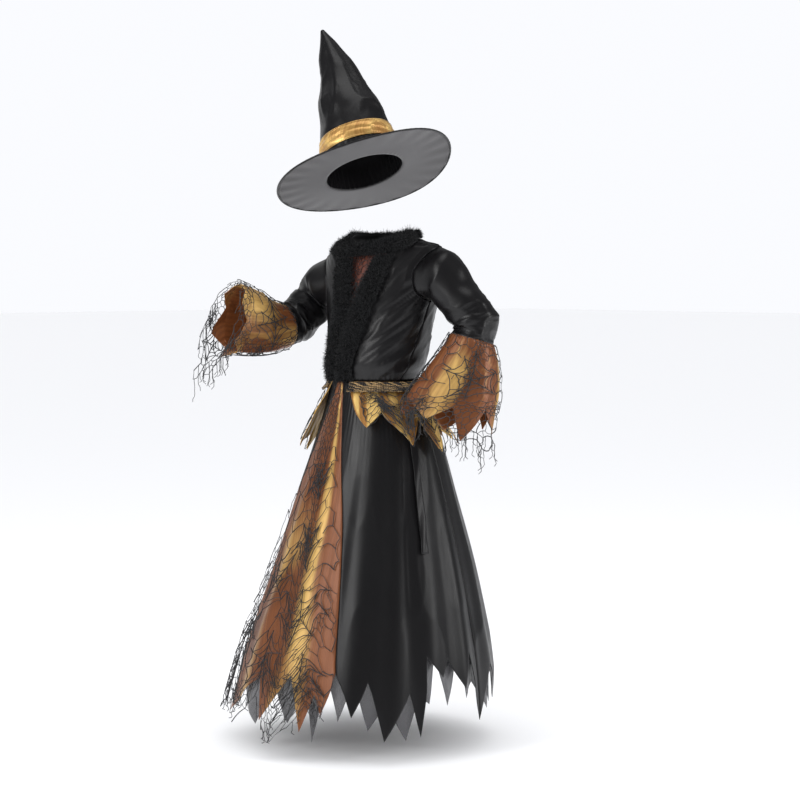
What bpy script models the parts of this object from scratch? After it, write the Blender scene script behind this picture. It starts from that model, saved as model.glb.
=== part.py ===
"""Witch costume: a long dress as it is worn, and its pointed hat, built in Blender.

Metres, +Z up. The origin is the middle of the neck's base, where the wearer's shoulders hold the dress.
The dress faces -Y, and +X is the wearer's left. Angles round the body are in degrees from the front
towards the wearer's left. Each cut piece is its own closed wall of cloth.
"""
import math
import random

import bmesh
import bpy
import numpy as np
from mathutils import Matrix, Vector

# Cloth and seams
SATIN = 0.0015
SHEER = 0.0011
NET = 0.0012
SEAM = 0.0003
RIBBON_WIDTH = 0.017

# Dress heights
NECK_Z = 0.0
SHOULDER_TIP_Z = -0.026
WAIST_Z = -0.300
HEM_Z = -0.930
LACE_HEIGHT = 0.026
UNDERLAYER_TOP_Z = -0.820
SHOULDER_RISE = 0.07

# The general figure's sections under the cloth, from the neck down to the hem.
# forward: how far the section's middle lies in front of the origin; turn: where its front faces
BODY_COLUMNS = ("z", "half_width", "half_depth", "forward", "turn")
BODY = [
    (0.030, 0.056, 0.054, 0.000, 12),
    (0.012, 0.060, 0.057, 0.000, 12),
    (0.000, 0.067, 0.061, 0.000, 12),
    (-0.010, 0.096, 0.063, 0.000, 12),
    (-0.026, 0.138, 0.067, 0.000, 12),
    (-0.060, 0.146, 0.080, 0.001, 11),
    (-0.100, 0.137, 0.091, 0.003, 9),
    (-0.140, 0.128, 0.096, 0.006, 6),
    (-0.200, 0.121, 0.096, 0.012, -2),
    (-0.262, 0.119, 0.096, 0.020, -10),
    (-0.300, 0.108, 0.085, 0.024, -13),
    (-0.360, 0.126, 0.104, 0.018, -14),
    (-0.432, 0.148, 0.130, 0.014, -14),
    (-0.562, 0.182, 0.168, 0.018, -14),
    (-0.691, 0.214, 0.205, 0.022, -14),
    (-0.800, 0.241, 0.234, 0.030, -14),
    (-0.909, 0.266, 0.260, 0.040, -14),
    (-1.060, 0.290, 0.286, 0.056, -14),
]

# Soft folds that run down the skirt.
# Columns: theta, the fold's middle; spread, its half width in degrees; height at the hem
SKIRT_FOLDS = [
    (-33, 9, 0.012),
    (-8, 8, 0.009),
    (20, 9, 0.012),
    (52, 8, 0.010),
    (70, 8, 0.014),
    (90, 7, 0.011),
    (109, 7, 0.013),
    (133, 9, 0.012),
    (158, 9, 0.014),
    (184, 9, 0.011),
    (209, 9, 0.014),
    (236, 9, 0.012),
    (262, 8, 0.013),
    (287, 8, 0.012),
    (307, 7, 0.010),
]

# Tension folds on the bodice, from the waist in front to the armhole, on both sides.
# Columns: theta and z of the low end, theta and z of the high end, height
BODICE_FOLDS = [
    (34, -0.200, 72, -0.128, 0.0045),
    (32, -0.228, 80, -0.150, 0.0050),
    (40, -0.262, 84, -0.182, 0.0045),
    (48, -0.284, 96, -0.225, 0.0040),
    (60, -0.292, 118, -0.250, 0.0035),
    (150, -0.280, 108, -0.170, 0.0040),
    (160, -0.240, 118, -0.120, 0.0035),
]
BODICE_FOLD_SPREAD = 0.010

# The bodice's front edge, from the neck point down: height and distance from the centre front
FRONT_EDGE_COLUMNS = ("share", "z", "aside")
FRONT_EDGE = [
    (0.00, -0.300, 0.023),
    (0.25, -0.225, 0.023),
    (0.42, -0.165, 0.024),
    (0.62, -0.090, 0.038),
    (0.80, -0.038, 0.050),
    (0.90, -0.012, 0.060),
    (1.00, 0.000, 0.067),
]

# The armhole's closed line from the shoulder tip over the front to the underarm and up the back
ARMHOLE_COLUMNS = ("share", "theta", "z")
ARMHOLE = [
    (0.000, 90, -0.026),
    (0.125, 67, -0.040),
    (0.250, 53, -0.075),
    (0.375, 63, -0.114),
    (0.500, 90, -0.134),
    (0.625, 116, -0.114),
    (0.750, 124, -0.075),
    (0.875, 112, -0.040),
    (1.000, 90, -0.026),
]
ARMHOLE_STEPS = 16
SIDE_STEPS = 6
FRONT_STEPS = 9
BACK_STEPS = 11

# Skirt hem, once round: angle and height of every point and notch
HEM_COLUMNS = ("theta", "z")
HEM = [
    (-46, -0.930),
    (-31, -1.016),
    (0, -0.919),
    (7, -1.003),
    (24, -0.900),
    (32, -1.011),
    (37, -0.935),
    (41, -0.975),
    (48, -0.889),
    (55, -0.976),
    (62, -0.907),
    (69, -1.023),
    (80, -0.930),
    (85, -1.020),
    (90, -0.860),
    (97, -0.905),
    (101, -0.870),
    (109, -0.934),
    (114, -0.862),
    (122, -1.010),
    (134, -0.900),
    (146, -0.985),
    (158, -0.910),
    (171, -1.000),
    (184, -0.900),
    (197, -0.990),
    (210, -0.905),
    (223, -1.000),
    (236, -0.910),
    (249, -0.980),
    (261, -0.870),
    (272, -0.940),
    (281, -0.880),
    (291, -1.010),
    (301, -0.900),
    (307, -0.970),
    (314, -0.930),
]
HEM_HALVES = 2
UNDER_POINT_DROP = 0.095
UNDER_NOTCH_RISE = 0.080
UNDER_SINK = 0.010
UNDER_LEAST = 0.040
SKIRT_ROWS_Z = (-0.36, -0.45, -0.56, -0.70, -0.83)
SIDE_SEAM = 122
BACK_SEAM = 236

# Half angle of the rust gore in front, by height
GORE_COLUMNS = ("z", "half_angle")
GORE = [
    (-0.300, 5),
    (-0.360, 13),
    (-0.450, 23),
    (-0.600, 35),
    (-0.750, 40),
    (-0.870, 43),
    (-0.940, 46),
    (-1.060, 47),
]
GORE_LEFT_SEAM = 48
GORE_RIGHT_SEAM = -46

# Peplum's points and notches.
# Columns: theta at the waist, theta at the lower edge, z of the lower edge
PEPLUM = [
    (18, 37, -0.372),
    (32, 49, -0.402),
    (50, 60, -0.366),
    (80, 83, -0.438),
    (92, 93, -0.385),
    (106, 107, -0.456),
    (115, 116, -0.403),
    (127, 128, -0.432),
    (141, 141, -0.380),
    (155, 155, -0.450),
    (168, 168, -0.385),
    (181, 181, -0.438),
    (194, 194, -0.385),
    (207, 207, -0.450),
    (220, 220, -0.385),
    (232, 231, -0.432),
    (244, 243, -0.400),
    (256, 254, -0.452),
    (270, 266, -0.390),
    (284, 279, -0.440),
    (296, 289, -0.398),
    (308, 299, -0.470),
    (322, 309, -0.425),
    (334, 319, -0.455),
    (342, 331, -0.372),
]
PEPLUM_ROWS = 4
PEPLUM_STAND_OFF = 0.024
PEPLUM_FLUTE = 0.006
PEPLUM_CURVE = 1.2
PEPLUM_NET_STEPS = (0.42, 0.72, 1.03)
PEPLUM_NET_LIFTS_LEFT = (0.0089, 0.0115, 0.0120)
PEPLUM_NET_LIFTS_RIGHT = (0.0057, 0.0077, 0.0082)
PEPLUM_SEAMS = (107, 256)

# Fur
FUR_HALF_WIDTH = 0.0225
FUR_HEIGHT = 0.021
FUR_EDGE = 0.006
FUR_FRONT_TOP_Z = -0.041
FUR_ROUGHNESS = 0.0018
COLLAR_TOP_Z = 0.012
COLLAR_TOP_DIP = 0.020
COLLAR_FRONT_DROP = 0.038
COLLAR_SIDE_DROP = 0.007
FUR_BASE = SATIN + 0.0012
COLLAR_LIFT = 0.0012

# Sleeves' rings from the shoulder to the elbow.
# Columns: x, y and z of the ring's middle, radius
SLEEVE_LEFT = [
    (0.160, 0.020, -0.078, 0.0535),
    (0.178, 0.022, -0.097, 0.0505),
    (0.195, 0.026, -0.122, 0.0470),
    (0.211, 0.032, -0.142, 0.0480),
    (0.224, 0.037, -0.160, 0.0455),
    (0.231, 0.040, -0.178, 0.0480),
    (0.232, 0.038, -0.194, 0.0450),
    (0.229, 0.034, -0.2085, 0.0465),
]
SLEEVE_RIGHT = [
    (-0.163, -0.024, -0.099, 0.0500),
    (-0.177, -0.028, -0.117, 0.0475),
    (-0.183, -0.038, -0.137, 0.0455),
    (-0.184, -0.054, -0.151, 0.0490),
    (-0.187, -0.070, -0.166, 0.0475),
    (-0.189, -0.087, -0.176, 0.0495),
    (-0.190, -0.102, -0.182, 0.0455),
    (-0.190, -0.116, -0.187, 0.0460),
]
# How far each of a sleeve's first rings is turned back towards its armhole, as a share
SLEEVE_TURN = (0.4, 0.3, 0.2)
SEAM_WAY_LEFT = (-0.16, -0.22, -0.96)
SEAM_WAY_RIGHT = (-0.10, -0.97, -0.16)

# Cuffs: ring middles from the elbow to the mouth, half sizes along and across
CUFF_COLUMNS = ("x", "y", "z", "half_long", "half_short")
CUFF_LEFT = [
    (0.2290, 0.0340, -0.2088, 0.0470, 0.0465),
    (0.2290, 0.0235, -0.2450, 0.0620, 0.0460),
    (0.2295, 0.0040, -0.2850, 0.0780, 0.0440),
    (0.2290, -0.0180, -0.3200, 0.0900, 0.0420),
    (0.2285, -0.0340, -0.3420, 0.0950, 0.0410),
]
CUFF_RIGHT = [
    (-0.190, -0.1163, -0.187, 0.0470, 0.0465),
    (-0.196, -0.147, -0.186, 0.0560, 0.0480),
    (-0.204, -0.178, -0.180, 0.0650, 0.0510),
    (-0.212, -0.207, -0.173, 0.0720, 0.0540),
    (-0.217, -0.230, -0.168, 0.0750, 0.0550),
]
CUFF_LONG_LEFT = (0.72, 0.69, 0.02)
CUFF_LONG_RIGHT = (0.0, -0.16, 0.99)
CUFF_MOUTH_LEFT = (-0.06, -0.10, -0.99)
CUFF_MOUTH_RIGHT = (-0.22, -0.96, 0.12)
CUFF_SIDES = 24
# Points of the cuffs' hems: share round the mouth, and reach past the last ring
TOOTH_COLUMNS = ("share", "reach")
TEETH_LEFT = [
    (0.000, 0.055),
    (0.100, 0.004),
    (0.180, 0.076),
    (0.235, 0.005),
    (0.320, 0.036),
    (0.410, 0.003),
    (0.500, 0.010),
    (0.580, 0.034),
    (0.670, 0.004),
    (0.760, 0.062),
    (0.850, 0.006),
    (0.915, 0.050),
    (0.960, 0.008),
    (1.000, 0.055),
]
TEETH_RIGHT = [
    (0.000, 0.004),
    (0.110, 0.022),
    (0.200, 0.004),
    (0.300, 0.034),
    (0.400, 0.004),
    (0.490, 0.030),
    (0.580, 0.004),
    (0.670, 0.026),
    (0.750, 0.003),
    (0.840, 0.018),
    (0.920, 0.002),
    (1.000, 0.004),
]
# How far the net's ragged tails hang past the mouth
TAILS_LEFT = [
    (0.000, 0.105),
    (0.140, 0.125),
    (0.300, 0.075),
    (0.500, 0.018),
    (0.700, 0.050),
    (0.860, 0.120),
    (1.000, 0.105),
]
TAILS_RIGHT = [
    (0.000, 0.035),
    (0.200, 0.060),
    (0.400, 0.110),
    (0.550, 0.125),
    (0.700, 0.085),
    (0.850, 0.050),
    (1.000, 0.035),
]
TOOTH_HANG = 0.35
# How the net's tails droop: share of the tail's reach, and droop from 0 to 1 there
NET_HANG_LEFT = ((0.45, 0.30), (1.0, 0.62))
NET_HANG_RIGHT = ((0.45, 0.30), (1.0, 0.50))
CUFF_FLUTE = 0.002
CUFF_FLUTES = 7
NET_COLUMNS = 5
NET_ROWS = 3
NET_LIFT_START = 0.0046
NET_LIFT_MOUTH = 0.0080
NET_BAR = 0.0024
NET_HALF_GAP = 0.0007

# Hat
HAT_MIDDLE = (-0.022, -0.036, 0.143)
HAT_UP = (-0.418, 0.050, 0.907)
BRIM_RADIUS = 0.190
BRIM_OPENING = 0.0840
BRIM_WAVE = 0.006
BRIM_SIDES = 34
EDGE_RADIUS = 0.0020
HAT_COLUMNS = ("height", "radius", "lean")
HAT_PROFILE = [
    (0.0008, 0.0865, 0.000),
    (0.0500, 0.0825, 0.001),
    (0.0620, 0.0810, 0.002),
    (0.0740, 0.0795, 0.003),
    (0.0860, 0.0780, 0.004),
    (0.1240, 0.0715, 0.006),
    (0.1690, 0.0610, 0.007),
    (0.2100, 0.0480, 0.007),
    (0.2600, 0.0335, 0.005),
    (0.3080, 0.0190, 0.000),
    (0.3490, 0.0045, -0.006),
]
HAT_BAND_ROWS = (0.0500, 0.0620, 0.0740, 0.0860)
HAT_SIDES = 18
HAT_CREASE = 0.0035
BAND_FOLDS = (0.0020, 0.0042, 0.0026, 0.0036)


def unit(vector):
    """Return the vector at length 1."""
    vector = np.asarray(vector, float)
    return vector / np.linalg.norm(vector)


def smooth_at(rows, columns, key, name):
    """Read a column of a table at a key, on a smooth curve through its rows that never overshoots."""
    table = sorted(rows)
    xs = [row[0] for row in table]
    ys = [row[columns.index(name)] for row in table]
    key = min(max(key, xs[0]), xs[-1])
    last = len(xs) - 2
    i = min(max(int(np.searchsorted(xs, key)) - 1, 0), last)
    slopes = [(ys[k + 1] - ys[k]) / (xs[k + 1] - xs[k]) for k in range(last + 1)]

    def slope_at(k):
        if k == 0:
            return slopes[0]
        if k > last:
            return slopes[last]
        before, after = slopes[k - 1], slopes[k]
        if before * after <= 0:
            return 0.0
        return 2 * before * after / (before + after)

    width = xs[i + 1] - xs[i]
    t = (key - xs[i]) / width
    rise = (2 * t**3 - 3 * t**2 + 1) * ys[i] + (3 * t**2 - 2 * t**3) * ys[i + 1]
    return rise + width * ((t**3 - 2 * t**2 + t) * slope_at(i) + (t**3 - t**2) * slope_at(i + 1))


def straight_at(rows, columns, key, name):
    """Read a column of a table at a key, on straight lines between its rows."""
    table = sorted(rows)
    return float(np.interp(key, [row[0] for row in table], [row[columns.index(name)] for row in table]))


def ramp(value, start, end):
    """Rise softly from 0 at start to 1 at end."""
    t = min(max((value - start) / (end - start), 0.0), 1.0)
    return t * t * (3 - 2 * t)


def angle_between(a, b):
    """Return the smallest turn from b to a, in degrees."""
    return (a - b + 180) % 360 - 180


def bodice_fold(theta, z, half_width):
    """Return how far the tension folds lift the bodice here."""
    if z < WAIST_Z or z > -0.08:
        return 0.0
    side = abs(angle_between(theta, 0))
    lift = 0.0
    for low, z_low, high, z_high, height in BODICE_FOLDS:
        start = np.array([math.radians(low) * half_width, z_low])
        end = np.array([math.radians(high) * half_width, z_high])
        here = np.array([math.radians(side) * half_width, z])
        along = np.clip(np.dot(here - start, end - start) / np.dot(end - start, end - start), 0, 1)
        distance = np.linalg.norm(here - start - along * (end - start))
        fade = math.sin(math.pi * min(max(0.12 + 0.76 * along, 0), 1))
        lift += height * fade * math.exp(-((distance / BODICE_FOLD_SPREAD) ** 2))
    return lift * ramp(z, WAIST_Z, WAIST_Z + 0.03)


def skirt_fold(theta, z):
    """Return how far the long folds lift the skirt here."""
    if z > WAIST_Z:
        return 0.0
    depth = ramp(z, WAIST_Z, HEM_Z) * 0.75 + 0.25 * (WAIST_Z - z) / (WAIST_Z - HEM_Z)
    lift = 0.0
    for middle, spread, height in SKIRT_FOLDS:
        lift += height * math.exp(-((angle_between(theta, middle) / spread) ** 2))
    return (lift - 0.004) * min(depth, 1.1)


def body_point(theta, z):
    """Return the point of the dress's inner face at an angle and height."""
    section = {name: smooth_at(BODY, BODY_COLUMNS, z, name) for name in BODY_COLUMNS[1:]}
    lift = bodice_fold(theta, z, section["half_width"]) + skirt_fold(theta, z)
    turn = math.radians(section["turn"])
    front = np.array([math.sin(turn), -math.cos(turn), 0.0])
    aside = np.array([math.cos(turn), math.sin(turn), 0.0])
    t = math.radians(theta)
    across = (section["half_width"] + lift) * math.sin(t)
    ahead = (section["half_depth"] + lift) * math.cos(t) + section["forward"]
    point = aside * across + front * ahead
    point[2] = z + SHOULDER_RISE * across * ramp(z, -0.20, -0.05) * (1 - ramp(z, -0.012, 0.012))
    return point


def body_normal(theta, z):
    """Return the outward direction of the dress's surface at an angle and height."""
    d_theta, d_z = 0.8, 0.0015
    along = body_point(theta + d_theta, z) - body_point(theta - d_theta, z)
    up = body_point(theta, z + d_z) - body_point(theta, z - d_z)
    return unit(np.cross(along, up))


def theta_aside(z, aside):
    """Return the angle of a point that lies this far to the wearer's left of the centre front."""
    half_width = smooth_at(BODY, BODY_COLUMNS, z, "half_width")
    return math.degrees(math.asin(max(-1.0, min(1.0, aside / half_width))))


def layer(places, offset):
    """Return a grid of points at angles and heights, moved out by an offset or a grid of offsets."""
    rows = []
    for i, line in enumerate(places):
        row = []
        for j, (theta, z) in enumerate(line):
            out = offset[i][j] if np.ndim(offset) == 2 else offset
            row.append(body_point(theta, z) + body_normal(theta, z) * out)
        rows.append(row)
    return np.array(rows)


def add_object(name, mesh_build, material, parent=None):
    """Make a named object from a bmesh and give it its material."""
    bmesh.ops.recalc_face_normals(mesh_build, faces=mesh_build.faces)
    mesh = bpy.data.meshes.new(name)
    mesh_build.to_mesh(mesh)
    mesh_build.free()
    mesh.materials.append(material)
    mesh.shade_smooth()
    mesh.set_sharp_from_angle(angle=math.radians(50))
    thing = bpy.data.objects.new(name, mesh)
    bpy.context.scene.collection.objects.link(thing)
    thing.parent = parent
    return thing


def halves(build, a, b, c, d):
    """Make a four-sided face as two triangles, always split from its first corner to its third."""
    build.faces.new((a, b, c))
    build.faces.new((a, c, d))


def wall(name, outer, inner, material, wrap=False, parent=None):
    """Close an outer and an inner grid of points into one wall. A wrapped grid closes on its first line."""
    build = bmesh.new()
    lines, places = outer.shape[:2]
    out = [[build.verts.new(point) for point in line] for line in outer]
    back = [[build.verts.new(point) for point in line] for line in inner]
    spans = lines if wrap else lines - 1
    for i in range(spans):
        k = (i + 1) % lines
        for j in range(places - 1):
            for skin in (out, back):
                halves(build, skin[i][j], skin[k][j], skin[k][j + 1], skin[i][j + 1])
        build.faces.new((out[i][0], back[i][0], back[k][0], out[k][0]))
        build.faces.new((out[i][-1], out[k][-1], back[k][-1], back[i][-1]))
    if not wrap:
        for j in range(places - 1):
            build.faces.new((out[0][j], out[0][j + 1], back[0][j + 1], back[0][j]))
            build.faces.new((out[-1][j], back[-1][j], back[-1][j + 1], out[-1][j + 1]))
    return add_object(name, build, material, parent)


def grid_normals(points, wrap=False):
    """Return the unit normals of a grid of points, all on one side of it."""
    if wrap:
        across = np.roll(points, -1, axis=0) - np.roll(points, 1, axis=0)
    else:
        across = np.gradient(points, axis=0)
    normals = np.cross(across, np.gradient(points, axis=1))
    return normals / np.linalg.norm(normals, axis=2, keepdims=True)


def body_panel(name, places, material, thickness=SATIN, offset=0.0, trim=SEAM / 2):
    """Make a wall on the body's surface, with its first and last lines trimmed back from the seams."""
    inner = layer(places, offset)
    outer = layer(places, np.asarray(offset) + thickness)
    for grid in (inner, outer):
        for end, beside in ((0, 1), (-1, -2)):
            way = grid[beside] - grid[end]
            length = np.linalg.norm(way, axis=1, keepdims=True)
            grid[end] += way / np.maximum(length, 1e-6) * trim
    return wall(name, outer, inner, material)


def net_wall(name, outer, inner, bar, material):
    """Make a net: every cell of the two grids is cut through, inside bars of the given half width."""
    build = bmesh.new()
    lines, places = outer.shape[:2]
    sheets = []
    for grid in (outer, inner):
        knots = [[build.verts.new(point) for point in line] for line in grid]
        holes = {}
        for i in range(lines - 1):
            for j in range(places - 1):
                corners = np.array([grid[i][j], grid[i + 1][j], grid[i + 1][j + 1], grid[i][j + 1]])
                middle = corners.mean(axis=0)
                inset = []
                for corner in corners:
                    reach = np.linalg.norm(middle - corner)
                    inset.append(corner + (middle - corner) * min(bar * math.sqrt(2) / 2 / reach, 0.55))
                holes[i, j] = [build.verts.new(point) for point in inset]
        sheets.append((knots, holes))
    for knots, holes in sheets:
        for (i, j), ring in holes.items():
            corners = [knots[i][j], knots[i + 1][j], knots[i + 1][j + 1], knots[i][j + 1]]
            for k in range(4):
                m = (k + 1) % 4
                halves(build, corners[k], corners[m], ring[m], ring[k])
    (out, out_holes), (back, back_holes) = sheets
    for place, ring in out_holes.items():
        other = back_holes[place]
        for k in range(4):
            m = (k + 1) % 4
            build.faces.new((ring[k], ring[m], other[m], other[k]))
    for i in range(lines - 1):
        build.faces.new((out[i][0], out[i + 1][0], back[i + 1][0], back[i][0]))
        build.faces.new((out[i][-1], back[i][-1], back[i + 1][-1], out[i + 1][-1]))
    for j in range(places - 1):
        build.faces.new((out[0][j], back[0][j], back[0][j + 1], out[0][j + 1]))
        build.faces.new((out[-1][j], out[-1][j + 1], back[-1][j + 1], back[-1][j]))
    return add_object(name, build, material)


def finish(name, color, roughness, metallic=0.0):
    """Make a Principled material."""
    material = bpy.data.materials.new(name)
    material.use_nodes = True
    shader = material.node_tree.nodes["Principled BSDF"]
    shader.inputs["Base Color"].default_value = (*color, 1.0)
    shader.inputs["Roughness"].default_value = roughness
    shader.inputs["Metallic"].default_value = metallic
    return material


def finishes():
    """Return the costume's materials by name."""
    return {
        "black_satin": finish("black_satin", (0.012, 0.011, 0.013), 0.36),
        "gold_satin": finish("gold_satin", (0.52, 0.30, 0.08), 0.30, 0.35),
        "copper_satin": finish("copper_satin", (0.34, 0.13, 0.05), 0.34, 0.25),
        "sheer_black": finish("sheer_black", (0.06, 0.058, 0.062), 0.60),
        "black_net": finish("black_net", (0.010, 0.010, 0.011), 0.70),
        "black_fur": finish("black_fur", (0.006, 0.006, 0.007), 0.90),
        "gold_lace": finish("gold_lace", (0.22, 0.13, 0.05), 0.55),
    }


def armhole_place(share, side):
    """Return the angle and height of a place on the armhole of one side, 1 left and -1 right."""
    theta = smooth_at(ARMHOLE, ARMHOLE_COLUMNS, share, "theta")
    return side * theta, smooth_at(ARMHOLE, ARMHOLE_COLUMNS, share, "z")


def side_line(side, back):
    """Return the side seam and the armhole's front or back half, from the waist to the shoulder tip."""
    under_z = ARMHOLE[4][2]
    line = []
    for k in range(SIDE_STEPS):
        line.append((side * 90, WAIST_Z + (under_z - WAIST_Z) * k / SIDE_STEPS))
    half = ARMHOLE_STEPS // 2
    for k in range(half + 1):
        share = 0.5 + 0.5 * k / half if back else 0.5 - 0.5 * k / half
        line.append(armhole_place(share, side))
    return line


def front_line(side):
    """Return the front edge and neckline of one front, from the waist to the neck point."""
    steps = SIDE_STEPS + ARMHOLE_STEPS // 2
    line = []
    for k in range(steps + 1):
        share = k / steps
        z = smooth_at(FRONT_EDGE, FRONT_EDGE_COLUMNS, share, "z")
        aside = smooth_at(FRONT_EDGE, FRONT_EDGE_COLUMNS, share, "aside")
        theta = 90.0 if k == steps else theta_aside(z, aside)
        line.append((side * theta, z))
    return line


def filled(first, last, low, high):
    """Fill the four lines round a panel with places: first and last go up, low and high go across."""
    first, last, low, high = (np.array(line, float) for line in (first, last, low, high))
    across, up = len(low), len(first)
    places = np.zeros((across, up, 2))
    for i in range(across):
        s = i / (across - 1)
        for j in range(up):
            t = j / (up - 1)
            rise = t**4
            lines = (1 - rise) * low[i] + rise * high[i] + (1 - s) * first[j] + s * last[j]
            bottom = (1 - s) * low[0] + s * low[-1]
            top = (1 - s) * high[0] + s * high[-1]
            places[i, j] = lines - (1 - rise) * bottom - rise * top
    return places


def bodice(looks):
    """Make the two fronts, the back and the insert in the front opening."""
    for side, name in ((1, "bodice_front_left"), (-1, "bodice_front_right")):
        first = front_line(side)
        last = side_line(side, back=False)
        share = [i / FRONT_STEPS for i in range(FRONT_STEPS + 1)]
        low = [(first[0][0] + (last[0][0] - first[0][0]) * s, WAIST_Z) for s in share]
        high = [(side * 90, NECK_Z + (SHOULDER_TIP_Z - NECK_Z) * s) for s in share]
        places = filled(first, last, low, high)
        body_panel(name, seam_back(places, side), looks["black_satin"])
    first = [(theta, z) for theta, z in side_line(1, back=True)]
    last = [(360 + theta, z) for theta, z in side_line(-1, back=True)]
    low, high = [], []
    for i in range(BACK_STEPS + 1):
        s = i / BACK_STEPS
        low.append((90 + 180 * s, WAIST_Z))
        high.append(back_neckline(s))
    places = filled(first, last, low, high)
    body_panel("bodice_back", seam_back(places, 0), looks["black_satin"])
    chest_insert(looks)


def chest_insert(looks):
    """Make the insert behind the front opening, sewn to the backs of the front edges."""
    edges = [(row[1], row[2]) for row in FRONT_EDGE]
    low_z, top_z = WAIST_Z + 0.004, -0.030
    places, offsets = [], []
    across, up = 4, 9
    for i in range(across + 1):
        line, outs = [], []
        for j in range(up + 1):
            z = low_z + (top_z - low_z) * j / up
            reach = smooth_at(edges, ("z", "aside"), z, "aside") + 0.004
            line.append((theta_aside(z, reach * (2 * i / across - 1)), z))
            sink = 0.0024 if 0 < j < up else 0.0
            outs.append(-SATIN - 2 * SEAM - sink)
        places.append(line)
        offsets.append(outs)
    body_panel("chest_insert", places, looks["copper_satin"], offset=np.array(offsets))


def seam_back(places, side):
    """Move a bodice panel's shoulder seam back from the seam line by half a seam."""
    moved = places.copy()
    sign = -side if side else 1
    for i in range(len(moved)):
        if abs(angle_between(abs(moved[i][-1][0]) % 180, 90)) < 0.5:
            width = smooth_at(BODY, BODY_COLUMNS, moved[i][-1][1], "half_width")
            turn = math.degrees(SEAM / 2 / width)
            if side:
                moved[i][-1][0] += sign * turn
            else:
                moved[i][-1][0] += turn if moved[i][-1][0] < 180 else -turn
    return moved


def back_neckline(s):
    """Return the place on the back's top line: a shoulder seam, the neckline and the other seam."""
    shoulder = 0.29
    if s <= shoulder:
        return 90, SHOULDER_TIP_Z + (NECK_Z - SHOULDER_TIP_Z) * s / shoulder
    if s >= 1 - shoulder:
        return 270, SHOULDER_TIP_Z + (NECK_Z - SHOULDER_TIP_Z) * (1 - s) / shoulder
    t = (s - shoulder) / (1 - 2 * shoulder)
    return 90 + 180 * t, NECK_Z + 0.004 * math.sin(math.pi * t)


def fur_front(name, side, looks):
    """Make one strip of fur down a front edge: a flat underside on the bodice and a full rounded top."""
    tufts = random.Random(7 if side > 0 else 8)
    inner, outer = [], []
    across, down = 6, 14
    top_z, low_z = FUR_FRONT_TOP_Z, WAIST_Z + 0.001
    for i in range(across + 1):
        s = i / across * 2 - 1
        inner_line, outer_line = [], []
        for j in range(down + 1):
            z = top_z + (low_z - top_z) * j / down
            edge_z = max(z, WAIST_Z)
            table = [(row[1], row[2]) for row in FRONT_EDGE]
            middle = smooth_at(table, ("z", "aside"), edge_z, "aside")
            aside = max(middle + FUR_HALF_WIDTH * s, SEAM)
            theta = side * theta_aside(z, aside)
            dome = math.sqrt(max(1 - s * s, 0.0)) * (0.75 + 0.25 * math.sin(math.pi * j / down))
            height = FUR_EDGE + (FUR_HEIGHT - FUR_EDGE) * dome + tufts.uniform(-FUR_ROUGHNESS, FUR_ROUGHNESS)
            point = body_point(theta, z)
            way = body_normal(theta, z)
            inner_line.append(point + way * FUR_BASE)
            outer_line.append(point + way * (FUR_BASE + height))
        inner.append(inner_line)
        outer.append(outer_line)
    return wall(name, np.array(outer), np.array(inner), looks["black_fur"])


def fur_collar(looks):
    """Make the ring of fur round the neck."""
    tufts = random.Random(9)
    inner, outer = [], []
    round_steps, across = 30, 4
    for i in range(round_steps):
        theta = 360 * i / round_steps
        front = max(math.cos(math.radians(theta)), 0.0) ** 1.5
        drop = COLLAR_SIDE_DROP + (COLLAR_FRONT_DROP - COLLAR_SIDE_DROP) * front
        top_z = COLLAR_TOP_Z - COLLAR_TOP_DIP * front
        rise = body_normal(theta, (top_z - drop) / 2)
        inner_line, outer_line = [], []
        for j in range(across + 1):
            s = j / across
            z = top_z - (top_z + drop) * s
            dome = math.sin(math.pi * (0.08 + 0.84 * s))
            height = FUR_EDGE + (FUR_HEIGHT - FUR_EDGE) * dome * 0.85
            height += tufts.uniform(-FUR_ROUGHNESS, FUR_ROUGHNESS)
            base = body_point(theta, z) + body_normal(theta, z) * (FUR_BASE + COLLAR_LIFT)
            inner_line.append(base)
            outer_line.append(base + rise * height)
        inner.append(inner_line)
        outer.append(outer_line)
    return wall("fur_collar", np.array(outer), np.array(inner), looks["black_fur"], wrap=True)


def hem_columns(start, end):
    """Return the angles of the hem's points, notches and the places halfway, from one seam to another."""
    rows = [row for row in HEM if start <= row[0] <= end]
    angles = []
    for a, b in zip(rows, rows[1:]):
        for k in range(HEM_HALVES):
            angles.append(a[0] + (b[0] - a[0]) * k / HEM_HALVES)
    angles.append(rows[-1][0])
    return angles


def gore_angle(theta, z):
    """Slide an angle of the gore or its neighbour so that the gore narrows towards the waist."""
    share = smooth_at(GORE, GORE_COLUMNS, z, "half_angle")
    around = angle_between(theta, 0)
    seam = GORE_LEFT_SEAM if around > 0 else -GORE_RIGHT_SEAM
    if abs(around) <= seam:
        return around * share / seam
    rest = (abs(around) - seam) / (180 - seam)
    slid = share + (180 - share) * rest
    return slid if theta > 0 else -slid


def skirt_places(angles, hem, rows_z):
    """Return the places of a skirt panel, column by column, from the waist to the pointed hem."""
    places = []
    for theta in angles:
        low = straight_at(hem, HEM_COLUMNS, theta, "z")
        line = [(theta, WAIST_Z - SEAM)]
        line += [(theta, z) for z in rows_z]
        line += [(theta, rows_z[-1] + (low - rows_z[-1]) * 0.5), (theta, low)]
        moved = []
        for angle, z in line:
            slid = gore_angle(angle if angle <= 180 else angle - 360, z)
            moved.append((slid, z))
        places.append(moved)
    return places


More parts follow.
